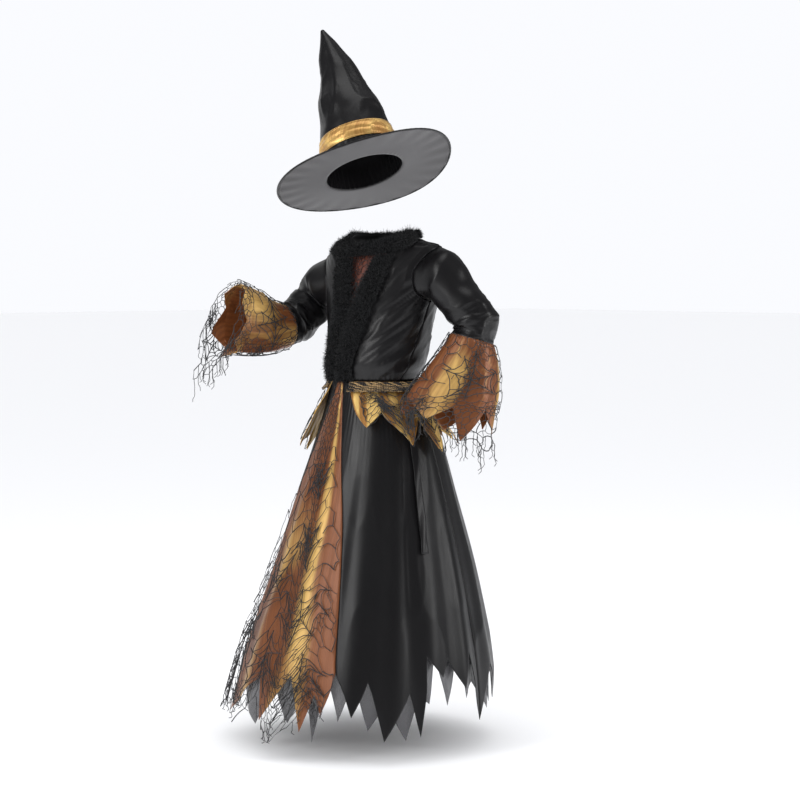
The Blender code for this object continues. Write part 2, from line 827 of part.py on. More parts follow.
def skirt(looks):
    """Make the gore, the three black panels and the sheer layer behind their hem."""
    panels = [
        ("skirt_front", GORE_RIGHT_SEAM, GORE_LEFT_SEAM, "copper_satin"),
        ("skirt_left", GORE_LEFT_SEAM, SIDE_SEAM, "black_satin"),
        ("skirt_back", SIDE_SEAM, BACK_SEAM, "black_satin"),
        ("skirt_right", BACK_SEAM, 360 + GORE_RIGHT_SEAM, "black_satin"),
    ]
    for name, start, end, look in panels:
        places = skirt_places(hem_columns(start, end), HEM, SKIRT_ROWS_Z)
        body_panel(name, places, looks[look])


def underlayer_hem():
    """Return the sheer layer's hem: its points hang between the satin's points."""
    rows = []
    for k, (theta, z) in enumerate(HEM):
        low = z + UNDER_NOTCH_RISE if k % 2 else z - UNDER_POINT_DROP
        rows.append((theta, min(low, UNDERLAYER_TOP_Z - UNDER_LEAST)))
    return rows


def underlayer(looks):
    """Make the sheer layer, sewn inside the skirt and hanging free of it towards the hem."""
    hem = underlayer_hem()
    for name, start, end in (("underlayer_left", -46, 134), ("underlayer_right", 134, 314)):
        angles = [row[0] for row in hem if start <= row[0] <= end]
        places, offsets = [], []
        for theta in angles:
            low = straight_at(hem, HEM_COLUMNS, theta, "z")
            line, sinks = [], []
            for k in range(4):
                z = UNDERLAYER_TOP_Z + (low - UNDERLAYER_TOP_Z) * k / 3
                line.append((gore_angle(theta if theta <= 180 else theta - 360, z), z))
                sinks.append(-SHEER - 0.0022 - UNDER_SINK * k / 3)
            places.append(line)
            offsets.append(sinks)
        body_panel(name, places, looks["sheer_black"], thickness=SHEER, offset=np.array(offsets))


def peplum_layer(start, end, steps, lifts, halves):
    """Return places and offsets of a peplum layer between two waist angles, at steps down its length."""
    rows = [(*row, 1 if k % 2 else -1) for k, row in enumerate(PEPLUM) if start <= row[0] <= end]
    columns = []
    for a, b in zip(rows, rows[1:]):
        for part in range(halves):
            t = part / halves
            columns.append([a[n] + (b[n] - a[n]) * t for n in range(4)])
    columns.append(list(rows[-1]))
    places, offsets = [], []
    for waist, low, z_low, wave in columns:
        line, outs = [], []
        for t, lift in zip(steps, lifts):
            z = WAIST_Z - 2 * SEAM + (z_low - WAIST_Z) * t
            line.append((waist + (low - waist) * t, z))
            outs.append(lift + (PEPLUM_STAND_OFF + PEPLUM_FLUTE * wave) * t**PEPLUM_CURVE)
        places.append(line)
        offsets.append(outs)
    return places, np.array(offsets)


def peplum(looks):
    """Make the pointed satin peplum in three pieces and the net over it."""
    base = SATIN + 4 * SEAM
    pieces = [
        ("peplum_left", PEPLUM[0][0], PEPLUM_SEAMS[0] - 1),
        ("peplum_back", PEPLUM_SEAMS[0] - 1, PEPLUM_SEAMS[1]),
        ("peplum_right", PEPLUM_SEAMS[1], PEPLUM[-1][0]),
    ]
    for name, start, end in pieces:
        steps = [j / PEPLUM_ROWS for j in range(PEPLUM_ROWS + 1)]
        places, offsets = peplum_layer(start, end, steps, [base] * len(steps), 2)
        body_panel(name, places, looks["gold_satin"], offset=offsets)


def waist_lace(looks):
    """Make the gathered lace strip that covers the waist seam of the peplum."""
    steps = 56
    inner, outer = [], []
    for i in range(steps):
        theta = 22 + 316 * i / (steps - 1)
        inner_line, outer_line = [], []
        for j in range(2):
            t = j
            z = WAIST_Z - 0.001 - LACE_HEIGHT * t
            lift = SATIN * 2 + 0.0022 + PEPLUM_STAND_OFF * (LACE_HEIGHT * t / 0.066) ** PEPLUM_CURVE
            gather = 0.0022 * (1 + math.cos(math.pi * i)) / 2
            point = body_point(theta, z)
            way = body_normal(theta, z)
            inner_line.append(point + way * (lift + 0.0016 * t + gather))
            outer_line.append(point + way * (lift + 0.0016 * t + gather + SATIN))
        inner.append(inner_line)
        outer.append(outer_line)
    wall("waist_lace", np.array(outer), np.array(inner), looks["gold_lace"])


def tie_ribbon(looks):
    """Make the narrow tie that hangs from the waist over the skirt's left side."""
    places, offsets = [], []
    rows = 9
    top_z, low_z = -0.345, -0.655
    for s in (-1, 0, 1):
        line, outs = [], []
        for j in range(rows + 1):
            z = top_z + (low_z - top_z) * j / rows
            width = smooth_at(BODY, BODY_COLUMNS, z, "half_width")
            twist = math.sin(2.2 * math.pi * j / rows)
            theta = 88 + math.degrees(s * RIBBON_WIDTH / 2 * (0.75 + 0.25 * abs(twist)) / width)
            line.append((theta, z))
            outs.append(SATIN + 0.0006 + min(j, 2) * 0.0012 + 0.0012 * (1 + s * twist))
        places.append(line)
        offsets.append(outs)
    body_panel("tie_ribbon", places, looks["black_satin"], thickness=SHEER, offset=np.array(offsets))


def turned(frame, old, new):
    """Turn a frame of two side vectors by the smallest turn from one direction to another."""
    turn = Vector(old).rotation_difference(Vector(new)).to_matrix()
    return [np.array(turn @ Vector(vector)) for vector in frame]


def sleeve(name, side, rows, seam_way, looks):
    """Make a sleeve from its armhole to the elbow seam."""
    hole = []
    places = [armhole_place(k / ARMHOLE_STEPS, side) for k in range(ARMHOLE_STEPS)]
    middle = np.mean([body_point(*place) for place in places], axis=0)
    for place in places:
        point = body_point(*place)
        way = body_normal(*place)
        inward = middle - point
        inward = unit(inward - way * np.dot(inward, way))
        hole.append(point + inward * SEAM * 1.5 + way * SATIN)
    middles = np.array([row[:3] for row in rows])
    radii = [row[3] for row in rows]
    ways = [unit(middles[0] - middle)]
    for k in range(len(rows)):
        if k == len(rows) - 1:
            ways.append(unit(seam_way))
        else:
            before = middles[k - 1] if k else middle
            ways.append(unit(middles[k + 1] - before))
    first = unit((side, 0.2 * side, 0.0))
    for k, share in enumerate(SLEEVE_TURN):
        ways[k + 1] = unit(ways[k + 1] * (1 - share) + first * share)
    frame = [np.array([0, 0, 1.0]), unit(np.cross((0, 0, 1.0), first)) * side * -1]
    if np.dot(frame[1], (0, -1, 0)) < 0:
        frame[1] = -frame[1]
    rings = [hole]
    last = first
    for k, radius in enumerate(radii):
        frame = turned(frame, last, ways[k + 1])
        last = ways[k + 1]
        up = unit(frame[0] - last * np.dot(frame[0], last))
        ahead = unit(frame[1] - last * np.dot(frame[1], last))
        ring = []
        for n in range(ARMHOLE_STEPS):
            angle = 2 * math.pi * n / ARMHOLE_STEPS
            fold = 0.0022 * math.sin(3 * angle + 1.9 * k) * (0.0 if k == len(radii) - 1 else 1.0)
            way = up * math.cos(angle) + ahead * math.sin(angle)
            ring.append(middles[k] + way * (radius + fold))
        rings.append(ring)
    outer = np.swapaxes(np.array(rings), 0, 1)
    normals = grid_normals(outer, wrap=True)
    spread = outer[:, 1] - outer[:, 1].mean(axis=0)
    outward = 1.0 if np.sum(normals[:, 1] * spread) > 0 else -1.0
    inner = outer - normals * outward * SATIN
    inner[:, -1] = outer[:, -1] + (middles[-1] - outer[:, -1]) * SATIN / radii[-1]
    return wall(name, outer, inner, looks["black_satin"], wrap=True)


def cuff_point(cuff_cut, share, t, grow):
    """Return the point of a bell cuff at a share round it and a share t of the way to its mouth."""
    rows, start_way, end_way, long_way = cuff_cut
    keyed = [(k / (len(rows) - 1), *row) for k, row in enumerate(rows)]
    names = ("t", *CUFF_COLUMNS)
    x, y, z, half_long, half_short = (smooth_at(keyed, names, t, name) for name in CUFF_COLUMNS)
    way = unit(unit(start_way) * (1 - t) + unit(end_way) * t)
    along = unit(np.array(long_way) - way * np.dot(long_way, way))
    across = np.cross(way, along)
    angle = 2 * math.pi * share
    size = grow + CUFF_FLUTE * t * math.cos(CUFF_FLUTES * angle)
    middle = np.array([x, y, z])
    return middle + along * (half_long + size) * math.cos(angle) + across * (half_short + size) * math.sin(angle)


def cuff_end(cuff_cut, share, reach, grow, hang):
    """Return the end of a cuff's line past its mouth; hang, from 0 to 1, lets it droop."""
    mouth = cuff_point(cuff_cut, share, 1.0, grow)
    way = unit(mouth - cuff_point(cuff_cut, share, 0.8, grow))
    return mouth + unit(way * (1 - hang) + np.array([0, 0, -1.0]) * hang) * reach


def cuff(name, cuff_cut, teeth, looks):
    """Make a bell cuff with a pointed hem."""
    steps = len(cuff_cut[0]) - 1
    grids = []
    for grow in (0.0, -SATIN):
        lines = []
        for n in range(CUFF_SIDES):
            share = n / CUFF_SIDES
            line = [cuff_point(cuff_cut, share, k / steps, grow) for k in range(steps + 1)]
            reach = max(straight_at(teeth, TOOTH_COLUMNS, share, "reach"), 0.001)
            line.append(cuff_end(cuff_cut, share, reach, grow, TOOTH_HANG))
            lines.append(line)
        grids.append(np.array(lines))
    return wall(name, grids[0], grids[1], looks["copper_satin"], wrap=True)


def cuff_net(name, cuff_cut, start, tails, hangs, looks):
    """Make half of the net over a cuff, longer than it and ragged at its end."""
    knots = random.Random(name)
    shifts = {}
    for i in range(1, NET_COLUMNS):
        for j in range(1, NET_ROWS):
            shifts[i, j] = (knots.uniform(-0.016, 0.016), knots.uniform(-0.04, 0.04))
    lines = []
    for i in range(NET_COLUMNS + 1):
        share = start + NET_HALF_GAP + (0.5 - 2 * NET_HALF_GAP) * i / NET_COLUMNS
        short = i in (0, NET_COLUMNS) or i % 2 == 0
        tail = straight_at(tails, TOOTH_COLUMNS, share % 1, "reach") * (0.72 if short else 1.0)
        line = []
        for j in range(NET_ROWS + 1):
            aside, down = shifts.get((i, j), (0.0, 0.0))
            t = j / NET_ROWS
            lift = NET_LIFT_START + (NET_LIFT_MOUTH - NET_LIFT_START) * t
            line.append(cuff_point(cuff_cut, share + aside, t + down, lift))
        for part, hang in hangs:
            line.append(cuff_end(cuff_cut, share, tail * part, NET_LIFT_MOUTH, hang))
        lines.append(line)
    inner = np.array(lines)
    normals = grid_normals(inner)
    middle = np.array(cuff_cut[0][1][:3])
    outward = 1.0 if np.sum(normals[:, 1] * (inner[:, 1] - middle)) > 0 else -1.0
    return net_wall(name, inner + normals * outward * NET, inner, NET_BAR, looks["black_net"])


def skirt_net(looks):
    """Make the web net over the gore, wider than it towards the hem and ragged at its end."""
    knots = random.Random(21)
    columns, rows = 7, 10
    places, offsets = [], []
    for i in range(columns + 1):
        s = i / columns
        line, outs = [], []
        for j in range(rows + 1):
            t = j / rows
            tail = 0.055 * (1 if i % 2 else 0) + 0.01 * (i % 3)
            z = WAIST_Z - 0.014 + (-0.955 - tail - WAIST_Z) * t
            half = smooth_at(GORE, GORE_COLUMNS, z, "half_angle")
            theta = half * (2 * s - 1) - 7 * t**2 * (1 - s)
            inside = 0 < i < columns and 0 < j < rows
            if inside:
                theta += knots.uniform(-0.25, 0.25) * 2 * half / columns
                z += knots.uniform(-0.013, 0.013)
            line.append((theta, z))
            free = 0.028 * max(t - 0.35, 0) / 0.65 * (1 - s) ** 2
            outs.append(SATIN + 0.0020 + 0.0026 * min(4 * t, 1) + free)
        places.append(line)
        offsets.append(outs)
    inner = layer(places, np.array(offsets))
    outer = layer(places, np.array(offsets) + NET)
    net_wall("skirt_front_net", outer, inner, NET_BAR, looks["black_net"])


def peplum_net(looks):
    """Make the net that lies over the peplum's two sides."""
    nets = [
        ("peplum_net_left", 32, 127, PEPLUM_NET_LIFTS_LEFT),
        ("peplum_net_right", 244, 334, PEPLUM_NET_LIFTS_RIGHT),
    ]
    for name, start, end, lifts in nets:
        places, offsets = peplum_layer(start, end, PEPLUM_NET_STEPS, lifts, 1)
        inner = layer(places, offsets)
        outer = layer(places, offsets + NET)
        net_wall(name, outer, inner, NET_BAR, looks["black_net"])


def hat_point(angle, height, grow):
    """Return a point of the hat's cone in the hat's own frame, with its soft creases."""
    radius = smooth_at(HAT_PROFILE, HAT_COLUMNS, height, "radius")
    lean = smooth_at(HAT_PROFILE, HAT_COLUMNS, height, "lean")
    calm = ramp(height, 0.09, 0.15) * (1 - ramp(height, 0.27, 0.34))
    crease = HAT_CREASE * calm * math.sin(3 * angle + 26 * height) * math.cos(2 * angle - 31 * height)
    size = radius + crease + grow
    return np.array([size * math.cos(angle) + lean, size * math.sin(angle), height])


def hat(looks):
    """Make the hat's crown, band, brim and edge in its own frame, then place them with their parent."""
    pose = bpy.data.objects.new("hat_pose", None)
    bpy.context.scene.collection.objects.link(pose)
    up = Vector(HAT_UP).normalized()
    aside = up.cross(Vector((0, 0, 1))).normalized()
    ahead = aside.cross(up)
    turn = Matrix((ahead, aside, up)).transposed()
    pose.matrix_world = Matrix.Translation(HAT_MIDDLE) @ turn.to_4x4()
    heights = [row[0] for row in HAT_PROFILE]
    outer, inner = [], []
    for n in range(HAT_SIDES):
        angle = 2 * math.pi * n / HAT_SIDES
        outer.append([hat_point(angle, height, 0.0) for height in heights])
        inner_heights = [min(height, heights[-1] - 0.006) for height in heights]
        inner.append([hat_point(angle, height, -SATIN) for height in inner_heights])
    crown(np.array(outer), np.array(inner), looks["black_satin"], pose)
    outer, inner = [], []
    for n in range(HAT_SIDES):
        angle = 2 * math.pi * n / HAT_SIDES
        swing = 0.0008 * math.sin(4 * angle)
        outer.append([hat_point(angle, h, SEAM + f + swing) for h, f in zip(HAT_BAND_ROWS, BAND_FOLDS)])
        inner.append([hat_point(angle, h, SEAM) for h in HAT_BAND_ROWS])
    wall("hat_band", np.array(outer), np.array(inner), looks["gold_satin"], wrap=True, parent=pose)
    rings = [BRIM_OPENING, 0.118, 0.154, BRIM_RADIUS]
    upper, lower = [], []
    for n in range(BRIM_SIDES):
        angle = 2 * math.pi * n / BRIM_SIDES
        line = []
        for radius in rings:
            share = max((radius - 0.09) / (BRIM_RADIUS - 0.09), 0.0)
            wave = BRIM_WAVE * share * (math.sin(2 * angle + 0.6) + 0.5 * math.sin(3 * angle))
            line.append(np.array([radius * math.cos(angle), radius * math.sin(angle), wave]))
        upper.append(line)
        lower.append([point - np.array([0, 0, SHEER]) for point in line])
    wall("hat_brim", np.array(upper), np.array(lower), looks["sheer_black"], wrap=True, parent=pose)
    brim_edge(np.array(upper)[:, -1], looks["black_satin"], pose)


def crown(outer, inner, material, pose):
    """Close the crown's two skins at the hem, and cap each at the tip."""
    build = bmesh.new()
    sides, places = outer.shape[:2]
    skins = []
    for grid in (outer, inner):
        lines = [[build.verts.new(point) for point in line] for line in grid]
        for i in range(sides):
            k = (i + 1) % sides
            for j in range(places - 1):
                build.faces.new((lines[i][j], lines[k][j], lines[k][j + 1], lines[i][j + 1]))
        tip = build.verts.new(grid[:, -1].mean(axis=0) + np.array([0, 0, 0.001]))
        for i in range(sides):
            build.faces.new((lines[i][-1], lines[(i + 1) % sides][-1], tip))
        skins.append(lines)
    for i in range(sides):
        k = (i + 1) % sides
        build.faces.new((skins[0][i][0], skins[1][i][0], skins[1][k][0], skins[0][k][0]))
    return add_object("hat_crown", build, material, pose)


def brim_edge(line, material, pose):
    """Make the bound wire that runs round the brim, just outside its edge."""
    build = bmesh.new()
    rings = []
    sections = 6
    for point in line:
        way = unit((point[0], point[1], 0))
        middle = point + way * (EDGE_RADIUS + SEAM) - np.array([0, 0, SHEER / 2])
        ring = []
        for k in range(sections):
            angle = 2 * math.pi * k / sections
            reach = way * math.cos(angle) + np.array([0, 0, 1.0]) * math.sin(angle)
            ring.append(build.verts.new(middle + reach * EDGE_RADIUS))
        rings.append(ring)
    for i in range(len(rings)):
        here, there = rings[i], rings[(i + 1) % len(rings)]
        for k in range(sections):
            m = (k + 1) % sections
            build.faces.new((here[k], there[k], there[m], here[m]))
    return add_object("hat_brim_edge", build, material, pose)


def main():
    """Build the costume."""
    for thing in list(bpy.data.objects):
        bpy.data.objects.remove(thing, do_unlink=True)
    looks = finishes()
    bodice(looks)
    fur_front("fur_front_left", 1, looks)
    fur_front("fur_front_right", -1, looks)
    fur_collar(looks)
    skirt(looks)
    underlayer(looks)
    peplum(looks)
    waist_lace(looks)
    tie_ribbon(looks)
    skirt_net(looks)
    peplum_net(looks)
    sleeve("sleeve_left", 1, SLEEVE_LEFT, SEAM_WAY_LEFT, looks)
    sleeve("sleeve_right", -1, SLEEVE_RIGHT, SEAM_WAY_RIGHT, looks)
    left = (CUFF_LEFT, SEAM_WAY_LEFT, CUFF_MOUTH_LEFT, CUFF_LONG_LEFT)
    right = (CUFF_RIGHT, SEAM_WAY_RIGHT, CUFF_MOUTH_RIGHT, CUFF_LONG_RIGHT)
    for side, cut, teeth, tails, hangs in (
        ("left", left, TEETH_LEFT, TAILS_LEFT, NET_HANG_LEFT),
        ("right", right, TEETH_RIGHT, TAILS_RIGHT, NET_HANG_RIGHT),
    ):
        cuff(f"cuff_{side}", cut, teeth, looks)
        cuff_net(f"cuff_net_{side}_outer", cut, 0.0, tails, hangs, looks)
        cuff_net(f"cuff_net_{side}_inner", cut, 0.5, tails, hangs, looks)
    hat(looks)
    bpy.context.view_layer.update()


main()
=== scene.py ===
"""Looks of the witch costume: a long dress in the form in which it is worn, and its pointed hat.

Metres, +Z up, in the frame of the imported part. The dress faces -Y, and +X is the wearer's left. Angles round
the body are in degrees from the front towards the wearer's left.
"""
import math

import bpy
import numpy as np
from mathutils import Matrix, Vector
from mathutils.geometry import delaunay_2d_cdt


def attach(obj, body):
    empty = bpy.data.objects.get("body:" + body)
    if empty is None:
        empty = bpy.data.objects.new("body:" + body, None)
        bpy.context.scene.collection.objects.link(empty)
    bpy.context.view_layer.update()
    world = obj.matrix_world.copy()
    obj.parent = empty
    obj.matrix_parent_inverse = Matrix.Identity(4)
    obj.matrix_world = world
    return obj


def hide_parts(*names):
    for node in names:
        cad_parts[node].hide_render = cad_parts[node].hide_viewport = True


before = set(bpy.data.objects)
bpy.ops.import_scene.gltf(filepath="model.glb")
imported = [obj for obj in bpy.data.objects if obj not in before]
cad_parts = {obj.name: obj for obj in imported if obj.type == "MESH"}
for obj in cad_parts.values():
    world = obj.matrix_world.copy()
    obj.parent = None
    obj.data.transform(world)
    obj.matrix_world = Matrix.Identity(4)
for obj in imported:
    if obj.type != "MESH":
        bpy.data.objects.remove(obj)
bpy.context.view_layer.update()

# Cloth and seams
SATIN = 0.0012
SHEER = 0.0006
SEAM = 0.0003
CLOTH_BASE = 0.0015
RIBBON_WIDTH = 0.017
# How far the scene's cloth starts outside the solid's inner face, and a point behind the bodice's cloth
SKIN_START = 0.0002
CHEST_MIDDLE = (0, 0, -0.15)

# Dress heights
NECK_Z = 0.0
SHOULDER_TIP_Z = -0.026
WAIST_Z = -0.300
HEM_Z = -0.930
LACE_HEIGHT = 0.026
UNDERLAYER_TOP_Z = -0.820
SHOULDER_RISE = 0.07
FLOOR_Z = -1.075

# The general figure's sections under the cloth, from the neck down to the hem.
# forward: how far the section's middle lies in front of the origin; turn: where its front faces
BODY_COLUMNS = ("z", "half_width", "half_depth", "forward", "turn")
BODY = [
    (0.030, 0.056, 0.054, 0.000, 12),
    (0.012, 0.060, 0.057, 0.000, 12),
    (0.000, 0.067, 0.061, 0.000, 12),
    (-0.010, 0.096, 0.063, 0.000, 12),
    (-0.026, 0.138, 0.067, 0.000, 12),
    (-0.060, 0.146, 0.080, 0.001, 11),
    (-0.100, 0.137, 0.091, 0.003, 9),
    (-0.140, 0.128, 0.096, 0.006, 6),
    (-0.200, 0.121, 0.096, 0.012, -2),
    (-0.262, 0.119, 0.096, 0.020, -10),
    (-0.300, 0.108, 0.085, 0.024, -13),
    (-0.360, 0.126, 0.104, 0.018, -14),
    (-0.432, 0.148, 0.130, 0.014, -14),
    (-0.562, 0.182, 0.168, 0.018, -14),
    (-0.691, 0.214, 0.205, 0.022, -14),
    (-0.800, 0.241, 0.234, 0.030, -14),
    (-0.909, 0.266, 0.260, 0.040, -14),
    (-1.060, 0.290, 0.286, 0.056, -14),
]

# Soft folds that run down the skirt.
# Columns: theta, the fold's middle; spread, its half width in degrees; height at the hem
SKIRT_FOLDS = [
    (-33, 9, 0.012),
    (-8, 8, 0.009),
    (20, 9, 0.012),
    (52, 8, 0.010),
    (70, 8, 0.014),
    (90, 7, 0.011),
    (109, 7, 0.013),
    (133, 9, 0.012),
    (158, 9, 0.014),
    (184, 9, 0.011),
    (209, 9, 0.014),
    (236, 9, 0.012),
    (262, 8, 0.013),
    (287, 8, 0.012),
    (307, 7, 0.010),
]

# Tension folds on the bodice, from the waist in front to the armhole, on both sides.
# Columns: theta and z of the low end, theta and z of the high end, height
BODICE_FOLDS = [
    (34, -0.200, 72, -0.128, 0.0045),
    (32, -0.228, 80, -0.150, 0.0050),
    (40, -0.262, 84, -0.182, 0.0045),
    (48, -0.284, 96, -0.225, 0.0040),
    (60, -0.292, 118, -0.250, 0.0035),
    (150, -0.280, 108, -0.170, 0.0040),
    (160, -0.240, 118, -0.120, 0.0035),
]
BODICE_FOLD_SPREAD = 0.010
# Sharper creases between them, on the wearer's left. Columns as above
BODICE_CREASES = [
    (30, -0.150, 60, -0.105, 0.0020),
    (33, -0.186, 74, -0.118, 0.0026),
    (31, -0.214, 66, -0.150, 0.0028),
    (36, -0.246, 86, -0.164, 0.0028),
    (44, -0.274, 78, -0.214, 0.0026),
    (52, -0.290, 104, -0.236, 0.0024),
    (72, -0.294, 126, -0.262, 0.0020),
    (58, -0.262, 92, -0.202, 0.0022),
]
CREASE_SPREAD = 0.0042

# The bodice's front edge, from the waist up to the neck point
FRONT_EDGE_COLUMNS = ("share", "z", "aside")
FRONT_EDGE = [
    (0.00, -0.300, 0.023),
    (0.25, -0.225, 0.023),
    (0.42, -0.165, 0.024),
    (0.62, -0.090, 0.038),
    (0.80, -0.038, 0.050),
    (0.90, -0.012, 0.060),
    (1.00, 0.000, 0.067),
]
EDGE_COLUMNS = ("z", "aside")
EDGE_BY_HEIGHT = [(row[1], row[2]) for row in FRONT_EDGE]

# The armhole's closed line from the shoulder tip over the front to the underarm and up the back
ARMHOLE_COLUMNS = ("share", "theta", "z")
ARMHOLE = [
    (0.000, 90, -0.026),
    (0.125, 67, -0.040),
    (0.250, 53, -0.075),
    (0.375, 63, -0.114),
    (0.500, 90, -0.134),
    (0.625, 116, -0.114),
    (0.750, 124, -0.075),
    (0.875, 112, -0.040),
    (1.000, 90, -0.026),
]
ARMHOLE_STEPS = 72
SIDE_STEPS = 27
FRONT_STEPS = 44
BACK_STEPS = 66

# Skirt hem, once round: every point and notch. Columns: theta, z
HEM = [
    (-46, -0.930), (-31, -1.016), (0, -0.919), (7, -1.003), (24, -0.900), (32, -1.011), (37, -0.935),
    (41, -0.975), (48, -0.889), (55, -0.976), (62, -0.907), (69, -1.023), (80, -0.930), (85, -1.020),
    (90, -0.860), (97, -0.905), (101, -0.870), (109, -0.934), (114, -0.862), (122, -1.010), (134, -0.900),
    (146, -0.985), (158, -0.910), (171, -1.000), (184, -0.900), (197, -0.990), (210, -0.905), (223, -1.000),
    (236, -0.910), (249, -0.980), (261, -0.870), (272, -0.940), (281, -0.880), (291, -1.010), (301, -0.900),
    (307, -0.970), (314, -0.930),
]
HEM_STEPS = 9
SKIRT_STEPS = 110
UNDER_POINT_DROP = 0.095
UNDER_NOTCH_RISE = 0.080
UNDER_SINK = 0.010
UNDER_LEAST = 0.040
SIDE_SEAM = 122
BACK_SEAM = 236

# Half angle of the rust gore in front, by height
GORE_COLUMNS = ("z", "half_angle")
GORE = [
    (-0.300, 5),
    (-0.360, 13),
    (-0.450, 23),
    (-0.600, 35),
    (-0.750, 40),
    (-0.870, 43),
    (-0.940, 46),
    (-1.060, 47),
]
GORE_LEFT_SEAM = 48
GORE_RIGHT_SEAM = -46

# Peplum's points and notches.
# Columns: theta at the waist, theta at the lower edge, z of the lower edge
PEPLUM = [
    (18, 37, -0.372), (32, 49, -0.402), (50, 60, -0.366), (80, 83, -0.438), (92, 93, -0.385),
    (106, 107, -0.456), (115, 116, -0.403), (127, 128, -0.432), (141, 141, -0.380), (155, 155, -0.450),
    (168, 168, -0.385), (181, 181, -0.438), (194, 194, -0.385), (207, 207, -0.450), (220, 220, -0.385),
    (232, 231, -0.432), (244, 243, -0.400), (256, 254, -0.452), (270, 266, -0.390), (284, 279, -0.440),
    (296, 289, -0.398), (308, 299, -0.470), (322, 309, -0.425), (334, 319, -0.455), (342, 331, -0.372),
]
PEPLUM_STAND_OFF = 0.024
PEPLUM_FLUTE = 0.006
PEPLUM_CURVE = 1.2
PEPLUM_SEAMS = (106, 256)

# Fur
FUR_HALF_WIDTH = 0.0225
FUR_HEIGHT = 0.021
FUR_EDGE = 0.006
FUR_FRONT_TOP_Z = -0.041
COLLAR_TOP_Z = 0.012
COLLAR_TOP_DIP = 0.020
COLLAR_FRONT_DROP = 0.038
COLLAR_SIDE_DROP = 0.007
FUR_BED = 0.0028
STRAND_WIDTH = 0.0009
FRONT_STRANDS = 8400
COLLAR_STRANDS = 12400

# Sleeves' rings from the shoulder to the elbow.
# Columns: x, y and z of the ring's middle, radius
SLEEVE_LEFT = [
    (0.160, 0.020, -0.078, 0.0535),
    (0.178, 0.022, -0.097, 0.0505),
    (0.195, 0.026, -0.122, 0.0470),
    (0.211, 0.032, -0.142, 0.0480),
    (0.224, 0.037, -0.160, 0.0455),
    (0.231, 0.040, -0.178, 0.0480),
    (0.232, 0.038, -0.194, 0.0450),
    (0.229, 0.034, -0.2085, 0.0465),
]
SLEEVE_RIGHT = [
    (-0.163, -0.024, -0.099, 0.0500),
    (-0.177, -0.028, -0.117, 0.0475),
    (-0.183, -0.038, -0.137, 0.0455),
    (-0.184, -0.054, -0.151, 0.0490),
    (-0.187, -0.070, -0.166, 0.0475),
    (-0.189, -0.087, -0.176, 0.0495),
    (-0.190, -0.102, -0.182, 0.0455),
    (-0.190, -0.116, -0.187, 0.0460),
]
# How far each of a sleeve's first rings is turned back towards its armhole, as a share
SLEEVE_TURN = (0.4, 0.3, 0.2)
SLEEVE_STEPS = 110
SEAM_WAY_LEFT = (-0.16, -0.22, -0.96)
SEAM_WAY_RIGHT = (-0.10, -0.97, -0.16)

# Cuffs: ring middles from the elbow to the mouth, half sizes along and across
CUFF_COLUMNS = ("x", "y", "z", "half_long", "half_short")
CUFF_LEFT = [
    (0.2290, 0.0340, -0.2088, 0.0470, 0.0465),
    (0.2290, 0.0235, -0.2450, 0.0620, 0.0460),
    (0.2295, 0.0040, -0.2850, 0.0780, 0.0440),
    (0.2290, -0.0180, -0.3200, 0.0900, 0.0420),
    (0.2285, -0.0340, -0.3420, 0.0950, 0.0410),
]
CUFF_RIGHT = [
    (-0.190, -0.1163, -0.187, 0.0470, 0.0465),
    (-0.196, -0.147, -0.186, 0.0560, 0.0480),
    (-0.204, -0.178, -0.180, 0.0650, 0.0510),
    (-0.212, -0.207, -0.173, 0.0720, 0.0540),
    (-0.217, -0.230, -0.168, 0.0750, 0.0550),
]
CUFF_LONG_LEFT = (0.72, 0.69, 0.02)
CUFF_LONG_RIGHT = (0.0, -0.16, 0.99)
CUFF_MOUTH_LEFT = (-0.06, -0.10, -0.99)
CUFF_MOUTH_RIGHT = (-0.22, -0.96, 0.12)

# Points of the cuffs' hems. Columns: share round the mouth, reach past the last ring
TEETH_LEFT = [
    (0.000, 0.055), (0.100, 0.004), (0.180, 0.076), (0.235, 0.005), (0.320, 0.036), (0.410, 0.003),
    (0.500, 0.010), (0.580, 0.034), (0.670, 0.004), (0.760, 0.062), (0.850, 0.006), (0.915, 0.050),
    (0.960, 0.008), (1.000, 0.055),
]
TEETH_RIGHT = [
    (0.000, 0.004), (0.110, 0.022), (0.200, 0.004), (0.300, 0.034), (0.400, 0.004), (0.490, 0.030),
    (0.580, 0.004), (0.670, 0.026), (0.750, 0.003), (0.840, 0.018), (0.920, 0.002), (1.000, 0.004),
]
# How far the net's ragged tails hang past the mouth, and how much they droop halfway and at their ends
TAILS_LEFT = [
    (0.000, 0.105), (0.140, 0.125), (0.300, 0.075), (0.500, 0.018), (0.700, 0.050), (0.860, 0.120),
    (1.000, 0.105),
]
TAILS_RIGHT = [
    (0.000, 0.035), (0.200, 0.060), (0.400, 0.110), (0.550, 0.125), (0.700, 0.085), (0.850, 0.050),
    (1.000, 0.035),
]
NET_HANG_LEFT = (0.30, 0.62)
NET_HANG_RIGHT = (0.30, 0.50)
TOOTH_HANG = 0.35
CUFF_FLUTE = 0.002
CUFF_FLUTES = 7
CUFF_SIDES = 168

# Nets and stitches: a thread's radius, how far the nets stand off, a stitch's radius
THREAD = 0.00120
NET_LIFT = 0.0032
STITCH_RADIUS = 0.00026

